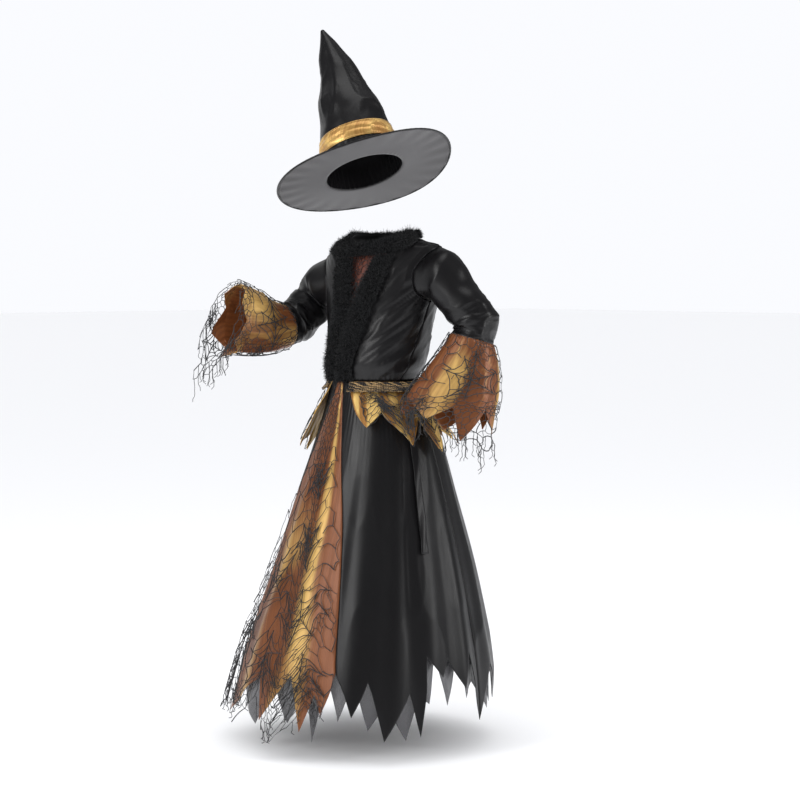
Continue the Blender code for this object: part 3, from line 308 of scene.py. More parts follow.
# Hat
HAT_MIDDLE = (-0.022, -0.036, 0.143)
HAT_UP = (-0.418, 0.050, 0.907)
BRIM_RADIUS = 0.190
BRIM_OPENING = 0.0840
BRIM_WAVE = 0.006
EDGE_RADIUS = 0.0020
HAT_COLUMNS = ("height", "radius", "lean")
HAT_PROFILE = [
    (0.0008, 0.0865, 0.000),
    (0.0500, 0.0825, 0.001),
    (0.0620, 0.0810, 0.002),
    (0.0740, 0.0795, 0.003),
    (0.0860, 0.0780, 0.004),
    (0.1240, 0.0715, 0.006),
    (0.1690, 0.0610, 0.007),
    (0.2100, 0.0480, 0.007),
    (0.2600, 0.0335, 0.005),
    (0.3080, 0.0190, 0.000),
    (0.3490, 0.0045, -0.006),
]
BAND_LOW, BAND_HIGH = 0.0500, 0.0860
HAT_SIDES = 144
BAND_SIDES = 216
BRIM_SIDES = 240
EDGE_STEPS = 300
EDGE_SIDES = 10
HAT_CREASE = 0.0035

# Camera and lights, set against the direction from which the dress is seen
LIGHT_AIM = np.array([0.0, 0.0, -0.35])
# Columns: name; metres from the dress towards the camera, to the right and up; width and height; watts
LIGHTS = [
    ("key_light", 1.9, -2.5, 1.3, (0.8, 1.8), 40),
    ("side_light", 1.0, 2.8, 0.9, (0.45, 1.9), 27),
    ("rim_light", -2.2, -1.6, 1.2, (1.6, 1.8), 7),
    ("top_light", 0.3, 0.0, 2.6, (1.8, 1.8), 18),
]
# The air's brightness in gloss, on dull surfaces and as the backdrop that the camera sees
AIR_GLOSS = 0.17
AIR_DULL = 1.22
AIR_SEEN = 1.0
FLOOR_REACH = 40.0
CAMERA_PLACE = (3.2064, -3.1575, -0.070)
CAMERA_AIM = (0.0245, 0.0245, -0.3456)
CAMERA_LENS = 93.9
TOWARDS_CAMERA = np.array([0.7071, -0.7071, 0.0])
TO_THE_RIGHT = np.array([0.7071, 0.7071, 0.0])


def unit(vectors):
    """Return vectors at length 1."""
    vectors = np.asarray(vectors, float)
    return vectors / np.maximum(np.linalg.norm(vectors, axis=-1, keepdims=True), 1e-9)


def smooth_at(rows, columns, keys, name):
    """Read a column of a table at keys, on a smooth curve through its rows that never overshoots."""
    table = sorted(rows)
    xs = np.array([row[0] for row in table], float)
    ys = np.array([row[columns.index(name)] for row in table], float)
    keys = np.clip(np.asarray(keys, float), xs[0], xs[-1])
    rises = np.diff(ys) / np.diff(xs)
    slopes = np.concatenate(([rises[0]], np.zeros(len(rises) - 1), [rises[-1]]))
    before, after = rises[:-1], rises[1:]
    same = before * after > 0
    slopes[1:-1] = np.where(same, 2 * before * after / np.where(same, before + after, 1.0), 0.0)
    i = np.clip(np.searchsorted(xs, keys) - 1, 0, len(xs) - 2)
    width = xs[i + 1] - xs[i]
    t = (keys - xs[i]) / width
    level = (2 * t**3 - 3 * t**2 + 1) * ys[i] + (3 * t**2 - 2 * t**3) * ys[i + 1]
    return level + width * ((t**3 - 2 * t**2 + t) * slopes[i] + (t**3 - t**2) * slopes[i + 1])


def straight_at(rows, keys):
    """Read a two-column table at keys, on straight lines between its rows."""
    return np.interp(keys, [row[0] for row in rows], [row[1] for row in rows])


def ramp(value, start, end):
    """Rise softly from 0 at start to 1 at end."""
    t = np.clip((np.asarray(value, float) - start) / (end - start), 0.0, 1.0)
    return t * t * (3 - 2 * t)


def angle_between(a, b):
    """Return the smallest turn from b to a, in degrees."""
    return (a - b + 180) % 360 - 180


def drift(x, y, seed, around=None):
    """Return smooth random values from 0 to 1 over a plane, which may close on itself in x."""
    lattice = np.random.default_rng(seed).random((around or 89, 97))
    x, y = np.broadcast_arrays(np.asarray(x, float), np.asarray(y, float))
    i, j = np.floor(x).astype(int), np.floor(y).astype(int)
    a, b = x - i, y - j
    a, b = a * a * (3 - 2 * a), b * b * (3 - 2 * b)
    tall, wide = lattice.shape
    low = lattice[i % tall, j % wide] * (1 - a) + lattice[(i + 1) % tall, j % wide] * a
    high = lattice[i % tall, (j + 1) % wide] * (1 - a) + lattice[(i + 1) % tall, (j + 1) % wide] * a
    return low * (1 - b) + high * b


def creased(x, y, seed, around=None):
    """Return narrow ridges from 0 to 1, as cloth has where it is pushed together."""
    first = 1 - np.abs(2 * drift(x, y, seed, around) - 1)
    second = 1 - np.abs(2 * drift(2 * x, 2 * y, seed + 1, around and 2 * around) - 1)
    return first**4 * 0.75 + second**4 * 0.25


def lines_of_folds(side, z, half_width, folds, spread):
    """Return the height of folds that run in straight lines over the bodice."""
    lift = np.zeros(np.broadcast(side, z).shape)
    across = np.radians(side) * half_width
    for low, z_low, high, z_high, height in folds:
        start_x, end_x = math.radians(low) * half_width, math.radians(high) * half_width
        way_x, way_z = end_x - start_x, z_high - z_low
        along = ((across - start_x) * way_x + (z - z_low) * way_z) / (way_x**2 + way_z**2)
        along = np.clip(along, 0, 1)
        distance = np.hypot(across - start_x - along * way_x, z - z_low - along * way_z)
        fade = np.sin(np.pi * np.clip(0.12 + 0.76 * along, 0, 1))
        lift = lift + height * fade * np.exp(-((distance / spread) ** 2))
    return lift


def bodice_fold(theta, z, half_width):
    """Return how far the tension folds lift the bodice."""
    side = np.abs(angle_between(theta, 0))
    lift = lines_of_folds(side, z, half_width, BODICE_FOLDS, BODICE_FOLD_SPREAD)
    return np.where((z < WAIST_Z) | (z > -0.08), 0.0, lift * ramp(z, WAIST_Z, WAIST_Z + 0.03))


def skirt_fold(theta, z):
    """Return how far the long folds lift the skirt."""
    depth = ramp(-z, -WAIST_Z, -HEM_Z) * 0.75 + 0.25 * (WAIST_Z - z) / (WAIST_Z - HEM_Z)
    lift = -0.004
    for middle, spread, height in SKIRT_FOLDS:
        lift = lift + height * np.exp(-((angle_between(theta, middle) / spread) ** 2))
    return np.where(z > WAIST_Z, 0.0, lift * np.minimum(depth, 1.1))


def body_point(theta, z):
    """Return points of the dress's inner face at angles and heights."""
    theta, z = np.broadcast_arrays(np.asarray(theta, float), np.asarray(z, float))
    columns = (smooth_at(BODY, BODY_COLUMNS, z, name) for name in BODY_COLUMNS[1:])
    half_width, half_depth, forward, turn = columns
    lift = bodice_fold(theta, z, half_width) + skirt_fold(theta, z)
    turn, t = np.radians(turn), np.radians(theta)
    across = (half_width + lift) * np.sin(t)
    ahead = (half_depth + lift) * np.cos(t) + forward
    x = np.cos(turn) * across + np.sin(turn) * ahead
    y = np.sin(turn) * across - np.cos(turn) * ahead
    rise = SHOULDER_RISE * across * ramp(z, -0.20, -0.05) * (1 - ramp(z, -0.012, 0.012))
    return np.stack([x, y, z + rise], axis=-1)


def body_normal(theta, z):
    """Return the outward direction of the dress's surface at angles and heights."""
    theta, z = np.asarray(theta, float), np.asarray(z, float)
    along = body_point(theta + 0.8, z) - body_point(theta - 0.8, z)
    up = body_point(theta, z + 0.0015) - body_point(theta, z - 0.0015)
    return unit(np.cross(along, up))


def on_body(theta, z, out):
    """Return points at angles and heights, moved out from the dress's inner face."""
    return body_point(theta, z) + body_normal(theta, z) * np.asarray(out, float)[..., None]


def theta_aside(z, aside):
    """Return the angle of a point that lies this far to the wearer's left of the centre front."""
    half_width = smooth_at(BODY, BODY_COLUMNS, z, "half_width")
    return np.degrees(np.arcsin(np.clip(aside / half_width, -1.0, 1.0)))


def grid_normals(points, wrap):
    """Return the direction across a grid of points at each of them."""
    if wrap:
        first = np.roll(points, -1, axis=0) - np.roll(points, 1, axis=0)
    else:
        first = np.gradient(points, axis=0)
    return unit(np.cross(first, np.gradient(points, axis=1)))


def lengths(points, axis):
    """Return how far each point of a grid is from its line's start, along the line."""
    steps = np.linalg.norm(np.diff(points, axis=axis), axis=-1)
    start = np.zeros_like(np.take(steps, [0], axis=axis))
    return np.concatenate([start, np.cumsum(steps, axis=axis)], axis=axis)


def seam_relief(points, seams, seed):
    """Return how far the cloth sinks into the seams named, and how it puckers beside them."""
    across, down = lengths(points, 0), lengths(points, 1)
    beside = {
        "first": (across, down),
        "last": (across[-1:] - across, down),
        "top": (down, across),
        "low": (down[:, -1:] - down, across),
    }
    relief = np.zeros(points.shape[:2])
    for k, name in enumerate(seams):
        distance, along = beside[name]
        groove = np.exp(-((distance / 0.0026) ** 2))
        wobble = 5 * drift(along / 0.03, 0.5, seed + k)
        pucker = np.sin(2 * np.pi * along / 0.0105 + wobble) * np.exp(-distance / 0.010) * (1 - groove)
        relief += -0.0011 * groove + 0.00055 * pucker
    return relief


def make_piece(name, points, faces, look, maps=None, masks=None):
    """Make one object from points and faces, with its material, its masks and its faces' cloth map."""
    mesh = bpy.data.meshes.new(name)
    mesh.from_pydata([tuple(point) for point in points], [], [tuple(face) for face in faces])
    mesh.polygons.foreach_set("use_smooth", [True] * len(mesh.polygons))
    if maps is not None:
        layer = mesh.uv_layers.new(name="cloth")
        layer.uv.foreach_set("vector", np.asarray(maps, np.float32).ravel())
    for mask, values in (masks or {}).items():
        layer = mesh.attributes.new(mask, "FLOAT", "POINT")
        layer.data.foreach_set("value", np.asarray(values, np.float32))
    mesh.materials.append(look)
    mesh.update()
    piece = bpy.data.objects.new(name, mesh)
    bpy.context.scene.collection.objects.link(piece)
    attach(piece, "root")
    return piece


def cloth(
    name, inner, look, inside, node=None,
    thickness=SATIN, wrap=False, seams=(), relief=0.0, crest_highlight=0.0,
):
    """Make a closed sheet of cloth from a grid of points on its inner face.

    inside is a point behind the cloth, node the CAD node that it replaces, relief how far the cloth stands
    out, and crest the painted highlight laid on it, in the gold of its second yarn.
    """
    normals = grid_normals(inner, wrap)
    if np.sum(normals * (inner - np.asarray(inside))) < 0:
        normals = -normals
    moved = inner + normals * (seam_relief(inner, seams, len(name)) + relief)[..., None]
    skin = grid_normals(moved, wrap)
    outer = moved + skin * np.sign(np.sum(normals * skin)) * thickness
    index = np.arange(inner[..., 0].size).reshape(inner.shape[:2])
    rounds = outer
    if wrap:
        index = np.concatenate([index, index[:1]])
        rounds = np.concatenate([outer, outer[:1]])
    faces = sheet_faces(index, inner[..., 0].size, wrap)
    across, down = lengths(rounds, 0), lengths(rounds, 1)
    across = across - across.mean(axis=0, keepdims=True)
    maps = np.stack([across, down], axis=-1).reshape(-1, 2)
    corners = sheet_faces(np.arange(len(maps)).reshape(across.shape), 0, wrap)
    # The painted highlight's mask, the same on both skins.
    masks = {"crest_highlight": np.tile(np.broadcast_to(crest_highlight, inner.shape[:2]).ravel(), 2)}
    points = np.concatenate([outer.reshape(-1, 3), moved.reshape(-1, 3)])
    piece = make_piece(name, points, faces, look, maps[corners], masks)
    steady_faces(piece)
    if node:
        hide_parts(node)
    return piece


def sheet_faces(index, step, wrap):
    """Return the faces of a sheet's two skins and its rims; step leads from a point to the one behind it."""
    a, b, c, d = index[:-1, :-1], index[1:, :-1], index[1:, 1:], index[:-1, 1:]
    front = np.stack([a, b, c, d], axis=-1).reshape(-1, 4)
    back = front[:, ::-1] + step
    rims = [(index[:, 0], False), (index[:, -1], True)]
    if not wrap:
        rims += [(index[0], True), (index[-1], False)]
    edges = []
    for rim, turned_over in rims:
        strip = np.stack([rim[:-1], rim[:-1] + step, rim[1:] + step, rim[1:]], axis=-1)
        edges.append(strip[:, ::-1] if turned_over else strip)
    return np.concatenate([front, back, *edges])


def steady_faces(piece):
    """Turn a piece's faces outward."""
    mesh = piece.data
    verts = np.array([vert.co for vert in mesh.vertices])
    mesh.calc_loop_triangles()
    corners = np.array([tri.vertices for tri in mesh.loop_triangles])
    a, b, c = verts[corners[:, 0]], verts[corners[:, 1]], verts[corners[:, 2]]
    if np.sum(a * np.cross(b, c)) < 0:
        mesh.flip_normals()


def make_group(name, inputs, outputs):
    """Make an empty shader group and return it with its input and output nodes."""
    group = bpy.data.node_groups.new(name, "ShaderNodeTree")
    for label, kind, value in inputs:
        socket = group.interface.new_socket(label, in_out="INPUT", socket_type=kind)
        if value is not None:
            socket.default_value = value
    for label, kind in outputs:
        group.interface.new_socket(label, in_out="OUTPUT", socket_type=kind)
    return group, group.nodes.new("NodeGroupInput"), group.nodes.new("NodeGroupOutput")


def math_node(tree, operation, first, second=None, third=None):
    """Add a math node and return its output."""
    node = tree.nodes.new("ShaderNodeMath")
    node.operation = operation
    for k, value in enumerate((first, second, third)):
        if value is None:
            continue
        if isinstance(value, (int, float)):
            node.inputs[k].default_value = value
        else:
            tree.links.new(value, node.inputs[k])
    return node.outputs[0]


def mix_colors(tree, share, first, second):
    """Mix two colours by a share and return the result."""
    node = tree.nodes.new("ShaderNodeMix")
    node.data_type = "RGBA"
    for socket, value in ((node.inputs[0], share), (node.inputs[6], first), (node.inputs[7], second)):
        if isinstance(value, tuple):
            socket.default_value = (*value, 1.0)
        elif isinstance(value, float):
            socket.default_value = value
        else:
            tree.links.new(value, socket)
    return node.outputs[2]


def round_threads(tree, turns):
    """Return the rounded height of threads, from 0 to 1, with one thread to each whole turn."""
    sine = math_node(tree, "SINE", math_node(tree, "MULTIPLY", turns, math.pi))
    return math_node(tree, "ABSOLUTE", sine)


def noise_node(tree, place, scale, detail, stretch=(1, 1, 1)):
    """Add noise over stretched coordinates and return its value."""
    mapping = tree.nodes.new("ShaderNodeMapping")
    mapping.inputs["Scale"].default_value = stretch
    tree.links.new(place, mapping.inputs["Vector"])
    noise = tree.nodes.new("ShaderNodeTexNoise")
    noise.inputs["Scale"].default_value = scale
    noise.inputs["Detail"].default_value = detail
    tree.links.new(mapping.outputs["Vector"], noise.inputs["Vector"])
    return noise.outputs["Fac"]


def satin_weave_group():
    """Long floats of warp that pass over four threads of weft, from the cloth map in metres."""
    group, start, end = make_group(
        "satin_weave",
        [("Place", "NodeSocketVector", None), ("Thread", "NodeSocketFloat", 0.0006)],
        [("Height", "NodeSocketFloat")],
    )
    split = group.nodes.new("ShaderNodeSeparateXYZ")
    group.links.new(start.outputs["Place"], split.inputs[0])
    across = math_node(group, "DIVIDE", split.outputs["X"], start.outputs["Thread"])
    down = math_node(group, "DIVIDE", split.outputs["Y"], start.outputs["Thread"])
    step = math_node(group, "MULTIPLY", math_node(group, "FLOOR", across), 0.4)
    float_place = math_node(group, "ADD", math_node(group, "MULTIPLY", down, 0.2), step)
    lifted = math_node(group, "POWER", round_threads(group, float_place), 0.35)
    height = math_node(group, "MULTIPLY", round_threads(group, across), lifted)
    group.links.new(height, end.inputs["Height"])
    return group


def plain_weave_group():
    """Threads that pass over and under each other, with the open places between them."""
    group, start, end = make_group(
        "plain_weave",
        [("Place", "NodeSocketVector", None), ("Thread", "NodeSocketFloat", 0.0012)],
        [("Height", "NodeSocketFloat"), ("Cover", "NodeSocketFloat")],
    )
    split = group.nodes.new("ShaderNodeSeparateXYZ")
    group.links.new(start.outputs["Place"], split.inputs[0])
    waves = []
    for axis in ("X", "Y"):
        turns = math_node(group, "DIVIDE", split.outputs[axis], start.outputs["Thread"])
        waves.append(round_threads(group, turns))
    height = math_node(group, "MAXIMUM", waves[0], waves[1])
    group.links.new(height, end.inputs["Height"])
    group.links.new(math_node(group, "GREATER_THAN", height, 0.62), end.inputs["Cover"])
    return group


def cloth_drift_group():
    """Slow changes over the cloth: its roughness, from handling, and long streaks along the yarn, which vary
    the lace's gold and move the satins' painted highlight and shade.
    """
    group, start, end = make_group(
        "cloth_drift",
        [
            ("Place", "NodeSocketVector", None),
            ("Least", "NodeSocketFloat", 0.3),
            ("Most", "NodeSocketFloat", 0.45),
        ],
        [("Value", "NodeSocketFloat"), ("Streak", "NodeSocketFloat")],
    )
    slow = noise_node(group, start.outputs["Place"], 9.0, 3.0)
    spread = math_node(group, "SUBTRACT", start.outputs["Most"], start.outputs["Least"])
    value = math_node(group, "MULTIPLY_ADD", slow, spread, start.outputs["Least"])
    group.links.new(value, end.inputs["Value"])
    streak = noise_node(group, start.outputs["Place"], 1.0, 4.0, (160.0, 6.0, 1.0))
    group.links.new(streak, end.inputs["Streak"])
    return group


def shot_cloth_group():
    """Colour of a shot cloth, with a painted highlight in its second yarn's gold on the crests of folds and
    along streaks.
    """
    group, start, end = make_group(
        "shot_cloth",
        [
            ("Ground", "NodeSocketColor", None),
            ("Highlight Color", "NodeSocketColor", None),
            ("Shade Color", "NodeSocketColor", None),
            ("Crest Highlight", "NodeSocketFloat", 0.0),
            ("Streak", "NodeSocketFloat", 0.5),
        ],
        [("Color", "NodeSocketColor")],
    )
    shade = group.nodes.new("ShaderNodeMapRange")
    shade.inputs["From Min"].default_value = 0.62
    shade.inputs["From Max"].default_value = 0.36
    group.links.new(start.outputs["Streak"], shade.inputs["Value"])
    dim = math_node(group, "MULTIPLY", shade.outputs["Result"], 0.45)
    ground = mix_colors(group, dim, start.outputs["Ground"], start.outputs["Shade Color"])
    wobble = math_node(group, "MULTIPLY_ADD", start.outputs["Streak"], 0.8, -0.4)
    # The painted highlight: the crest mask, lifted and lowered along the streaks.
    raised = math_node(group, "ADD", start.outputs["Crest Highlight"], math_node(group, "MULTIPLY", wobble, 0.9))
    share = group.nodes.new("ShaderNodeMapRange")
    share.interpolation_type = "SMOOTHSTEP"
    share.inputs["From Min"].default_value = 0.12
    share.inputs["From Max"].default_value = 1.12
    group.links.new(raised, share.inputs["Value"])
    shot = mix_colors(group, share.outputs["Result"], ground, start.outputs["Highlight Color"])
    group.links.new(shot, end.inputs["Color"])
    return group


SATIN_WEAVE = satin_weave_group()
PLAIN_WEAVE = plain_weave_group()
CLOTH_DRIFT = cloth_drift_group()
SHOT_CLOTH = shot_cloth_group()


def start_look(name, settings):
    """Make a material with its Principled shader's own values and return it with its tree and shader."""
    look = bpy.data.materials.new(name)
    look.use_nodes = True
    tree = look.node_tree
    shader = tree.nodes["Principled BSDF"]
    for socket, value in settings.items():
        shader.inputs[socket].default_value = value
    return look, tree, shader


def place_group(tree, group, place, **values):
    """Place a shader group in a material, on the cloth map."""
    node = tree.nodes.new("ShaderNodeGroup")
    node.node_tree = group
    tree.links.new(place, node.inputs["Place"])
    for label, value in values.items():
        node.inputs[label.replace("_", " ")].default_value = value
    return node


def cloth_place(tree):
    """Return the cloth map's coordinates."""
    node = tree.nodes.new("ShaderNodeUVMap")
    node.uv_map = "cloth"
    return node.outputs["UV"]


def raise_threads(tree, shader, height, strength, distance):
    """Lead a height into the shader's normal."""
    bump = tree.nodes.new("ShaderNodeBump")
    bump.inputs["Strength"].default_value = strength
    bump.inputs["Distance"].default_value = distance
    tree.links.new(height, bump.inputs["Height"])
    tree.links.new(bump.outputs["Normal"], shader.inputs["Normal"])


def satin_look(name, colors, rough, settings, thread=0.0007, strength=0.35):
    """Make a satin: a shot colour, long floats in its weave and a roughness that drifts.

    colors are those of the cloth's ground, of the painted highlight on its crests and of its shaded streaks.
    """
    look, tree, shader = start_look(name, settings)
    place = cloth_place(tree)
    drifting = place_group(tree, CLOTH_DRIFT, place, Least=rough[0], Most=rough[1])
    tree.links.new(drifting.outputs["Value"], shader.inputs["Roughness"])
    # The mask of the painted highlight on the crests.
    mask = tree.nodes.new("ShaderNodeAttribute")
    mask.attribute_name = "crest_highlight"
    shot = tree.nodes.new("ShaderNodeGroup")
    shot.node_tree = SHOT_CLOTH
    for label, color in zip(("Ground", "Highlight Color", "Shade Color"), colors):
        shot.inputs[label].default_value = (*color, 1.0)
    tree.links.new(mask.outputs["Fac"], shot.inputs["Crest Highlight"])
    tree.links.new(drifting.outputs["Streak"], shot.inputs["Streak"])
    tree.links.new(shot.outputs["Color"], shader.inputs["Base Color"])
    weave = place_group(tree, SATIN_WEAVE, place, Thread=thread)
    raise_threads(tree, shader, weave.outputs["Height"], strength, 0.00012)
    return look


def sheer_look(name, color, thread_color, cover, thread=0.0011):
    """Make a sheer cloth that lets some of what is behind it show between its threads."""
    look, tree, shader = start_look(name, {"Roughness": 0.55, "Sheen Weight": 0.25, "Sheen Roughness": 0.5})
    place = cloth_place(tree)
    weave = place_group(tree, PLAIN_WEAVE, place, Thread=thread)
    drifting = place_group(tree, CLOTH_DRIFT, place, Least=cover[0], Most=cover[1])
    mixed = mix_colors(tree, weave.outputs["Height"], color, thread_color)
    tree.links.new(mixed, shader.inputs["Base Color"])
    threads = math_node(tree, "MULTIPLY_ADD", weave.outputs["Cover"], 0.16, drifting.outputs["Value"])
    tree.links.new(threads, shader.inputs["Alpha"])
    raise_threads(tree, shader, weave.outputs["Height"], 0.4, 0.00015)
    return look


def fur_look():
    """Make the black fur, darker at the roots and lighter at the tips: painted shade where the fur shades
    itself, and a painted sheen on the tips.
    """
    settings = {"Roughness": 0.62, "Specular IOR Level": 0.28, "Sheen Weight": 0.12, "Sheen Roughness": 0.4}
    look, tree, shader = start_look("black_marabou_fur", settings)
    mask = tree.nodes.new("ShaderNodeAttribute")
    mask.attribute_name = "tip"
    mixed = mix_colors(tree, mask.outputs["Fac"], (0.0022, 0.0022, 0.0026), (0.011, 0.0115, 0.0125))
    tree.links.new(mixed, shader.inputs["Base Color"])
    return look


def thread_look(name, color, rough=0.6):
    """Make a twisted thread's finish, with light fuzz that changes along it."""
    look, tree, shader = start_look(name, {"Sheen Weight": 0.1, "Sheen Roughness": 0.5})
    place = tree.nodes.new("ShaderNodeTexCoord").outputs["Object"]
    fuzz = noise_node(tree, place, 700.0, 2.0)
    tree.links.new(math_node(tree, "MULTIPLY_ADD", fuzz, 0.2, rough - 0.1), shader.inputs["Roughness"])
    lighter = tuple(min(3.0 * value + 0.008, 1.0) for value in color)
    tree.links.new(mix_colors(tree, fuzz, color, lighter), shader.inputs["Base Color"])
    return look


def lace_look():
    """Make the gathered lace: gold yarn in loops over a black ground."""
    look, tree, shader = start_look("gold_black_lace", {"Metallic": 0.25, "Sheen Weight": 0.2})
    place = cloth_place(tree)
    cells = tree.nodes.new("ShaderNodeTexVoronoi")
    cells.inputs["Scale"].default_value = 150.0
    tree.links.new(place, cells.inputs["Vector"])
    yarn = math_node(tree, "LESS_THAN", cells.outputs["Distance"], 0.40)
    drifting = place_group(tree, CLOTH_DRIFT, place, Least=0.30, Most=0.55)
    gold = mix_colors(tree, drifting.outputs["Streak"], (0.34, 0.17, 0.05), (0.80, 0.56, 0.24))
    tree.links.new(mix_colors(tree, yarn, (0.010, 0.007, 0.006), gold), shader.inputs["Base Color"])
    tree.links.new(drifting.outputs["Value"], shader.inputs["Roughness"])
    raise_threads(tree, shader, yarn, 0.6, 0.0004)
    return look


# Each satin's colours: its ground, its painted highlight and its shaded streaks.
BLACK = satin_look(
    "black_satin_cloth",
    ((0.0046, 0.0042, 0.0048), (0.009, 0.0085, 0.0095), (0.0034, 0.0032, 0.0038)),
    (0.30, 0.40),
    {"Specular IOR Level": 0.35, "Sheen Weight": 0.01, "Sheen Roughness": 0.35},
    strength=0.20,
)
COPPER = satin_look(
    "copper_shot_satin",
    ((0.215, 0.070, 0.021), (0.62, 0.385, 0.115), (0.090, 0.027, 0.011)),
    (0.30, 0.42),
    {"Metallic": 0.25, "Specular IOR Level": 0.5, "Sheen Weight": 0.06, "Sheen Roughness": 0.4},
)
GOLD = satin_look(
    "gold_satin_cloth",
    ((0.40, 0.185, 0.045), (0.80, 0.53, 0.17), (0.17, 0.066, 0.018)),
    (0.24, 0.36),
    {"Metallic": 0.45, "Specular IOR Level": 0.5, "Sheen Weight": 0.05, "Sheen Roughness": 0.4},
)
RUST = satin_look(
    "rust_insert_satin",
    ((0.15, 0.040, 0.022), (0.25, 0.085, 0.040), (0.06, 0.018, 0.012)),
    (0.42, 0.55),
    {"Metallic": 0.10, "Specular IOR Level": 0.4},
)
BRIM_SHEER = sheer_look("sheer_brim_cloth", (0.010, 0.009, 0.010), (0.032, 0.029, 0.032), (0.79, 0.86))
UNDER_SHEER = sheer_look("sheer_underlayer_cloth", (0.020, 0.019, 0.022), (0.080, 0.078, 0.084), (0.56, 0.68))
FUR = fur_look()
NET = thread_look("black_web_thread", (0.006, 0.006, 0.007))
STITCH = thread_look("black_sewing_thread", (0.012, 0.012, 0.013), 0.5)
LACE = lace_look()


def armhole_place(share, side):
    """Return angles and heights on the armhole of one side, 1 left and -1 right."""
    theta = smooth_at(ARMHOLE, ARMHOLE_COLUMNS, share, "theta")
    return np.stack([side * theta, smooth_at(ARMHOLE, ARMHOLE_COLUMNS, share, "z")], axis=-1)


def side_line(side, back):
    """Return the side seam and the armhole's front or back half, from the waist to the shoulder tip."""
    seam = np.linspace(WAIST_Z, ARMHOLE[4][2], SIDE_STEPS, endpoint=False)
    below = np.stack([np.full(SIDE_STEPS, 90.0 * side), seam], axis=-1)
    half = np.linspace(0.5, 1.0 if back else 0.0, ARMHOLE_STEPS // 2 + 1)
    return np.concatenate([below, armhole_place(half, side)])


def front_line(side):
    """Return the front edge and neckline of one front, from the waist to the neck point."""
    share = np.linspace(0, 1, SIDE_STEPS + ARMHOLE_STEPS // 2 + 1)
    z = smooth_at(FRONT_EDGE, FRONT_EDGE_COLUMNS, share, "z")
    theta = theta_aside(z, smooth_at(FRONT_EDGE, FRONT_EDGE_COLUMNS, share, "aside"))
    theta[-1] = 90.0
    return np.stack([side * theta, z], axis=-1)


def filled(first, last, low, high):
    """Fill the four lines round a panel with places: first and last go up, low and high go across."""
    s = np.linspace(0, 1, len(low))[:, None, None]
    t = np.linspace(0, 1, len(first))[None, :, None]
    rise = t**4
    lines = (1 - rise) * low[:, None] + rise * high[:, None] + (1 - s) * first[None] + s * last[None]
    return lines - (1 - rise) * ((1 - s) * low[0] + s * low[-1]) - rise * ((1 - s) * high[0] + s * high[-1])


def bodice_creases(theta, z):
    """Return the height of the finer creases on the bodice."""
    half_width = smooth_at(BODY, BODY_COLUMNS, z, "half_width")
    side = angle_between(theta, 0)
    sharp = lines_of_folds(np.abs(side), z, half_width, BODICE_CREASES, CREASE_SPREAD)
    sharp = sharp * np.where(side > 0, 1.0, 0.45)
    x, y = np.radians(side) * half_width, z
    along, across = 0.80 * x + 0.60 * y * np.sign(side), -0.60 * x * np.sign(side) + 0.80 * y
    soft = 0.0030 * (creased(along / 0.085, across / 0.024, 31) - 0.3)
    gathers = 0.0011 * np.sin(x / 0.0021 + 4 * drift(x / 0.03, 0, 5)) * np.exp(-(z - WAIST_Z) / 0.016)
    calm = ramp(np.abs(side), 14, 30)
    return (sharp + soft) * calm * ramp(z, WAIST_Z, WAIST_Z + 0.02) + gathers * calm


def bodice():
    """Make the two fronts and the back."""
    panels = []
    for side, name in ((1, "bodice_front_left"), (-1, "bodice_front_right")):
        first, last = front_line(side), side_line(side, back=False)
        share = np.linspace(0, 1, FRONT_STEPS + 1)
        same = np.ones(len(share))
        low = np.stack([first[0][0] + (last[0][0] - first[0][0]) * share, WAIST_Z * same], axis=-1)
        high = np.stack([side * 90.0 * same, NECK_Z + (SHOULDER_TIP_Z - NECK_Z) * share], axis=-1)
        panels.append((name, filled(first, last, low, high)))
    first, last = side_line(1, back=True), side_line(-1, back=True) + [360, 0]
    share = np.linspace(0, 1, BACK_STEPS + 1)
    shoulder = 0.29
    neck = np.clip((share - shoulder) / (1 - 2 * shoulder), 0, 1)
    tip = np.clip(np.maximum(1 - share / shoulder, 1 - (1 - share) / shoulder), 0, 1)
    top_z = NECK_Z + 0.004 * np.sin(np.pi * neck) + (SHOULDER_TIP_Z - NECK_Z) * tip
    low = np.stack([90 + 180 * share, np.full(len(share), WAIST_Z)], axis=-1)
    high = np.stack([90 + 180 * neck, top_z], axis=-1)
    panels.append(("bodice_back", filled(first, last, low, high)))
    for name, places in panels:
        theta, z = places[..., 0], places[..., 1]
        inner = on_body(theta, z, np.full(theta.shape, SKIN_START))
        piece = cloth(
            f"{name}_cloth", inner, BLACK, CHEST_MIDDLE, name,
            seams=("last", "low", "top"), relief=bodice_creases(theta, z),
        )


def chest_insert():
    """Make the rust insert behind the front opening, under its net."""
    z = np.linspace(WAIST_Z + 0.004, -0.030, 60)
    reach = smooth_at(EDGE_BY_HEIGHT, EDGE_COLUMNS, z, "aside") + 0.004
    share = np.linspace(-1, 1, 33)
    theta = theta_aside(z[None], reach[None] * share[:, None])
    z = np.broadcast_to(z, theta.shape)
    sunk = -CLOTH_BASE - 2 * SEAM - 0.0024 * ramp(z, WAIST_Z, WAIST_Z + 0.03)
    inner = on_body(theta, z, sunk)
    relief = 0.0016 * (creased(share[:, None] * 3, z / 0.05, 14) - 0.3)
    piece = cloth(
        "chest_insert_cloth", inner, RUST, CHEST_MIDDLE, "chest_insert",
        seams=("first", "last"), relief=relief,
    )


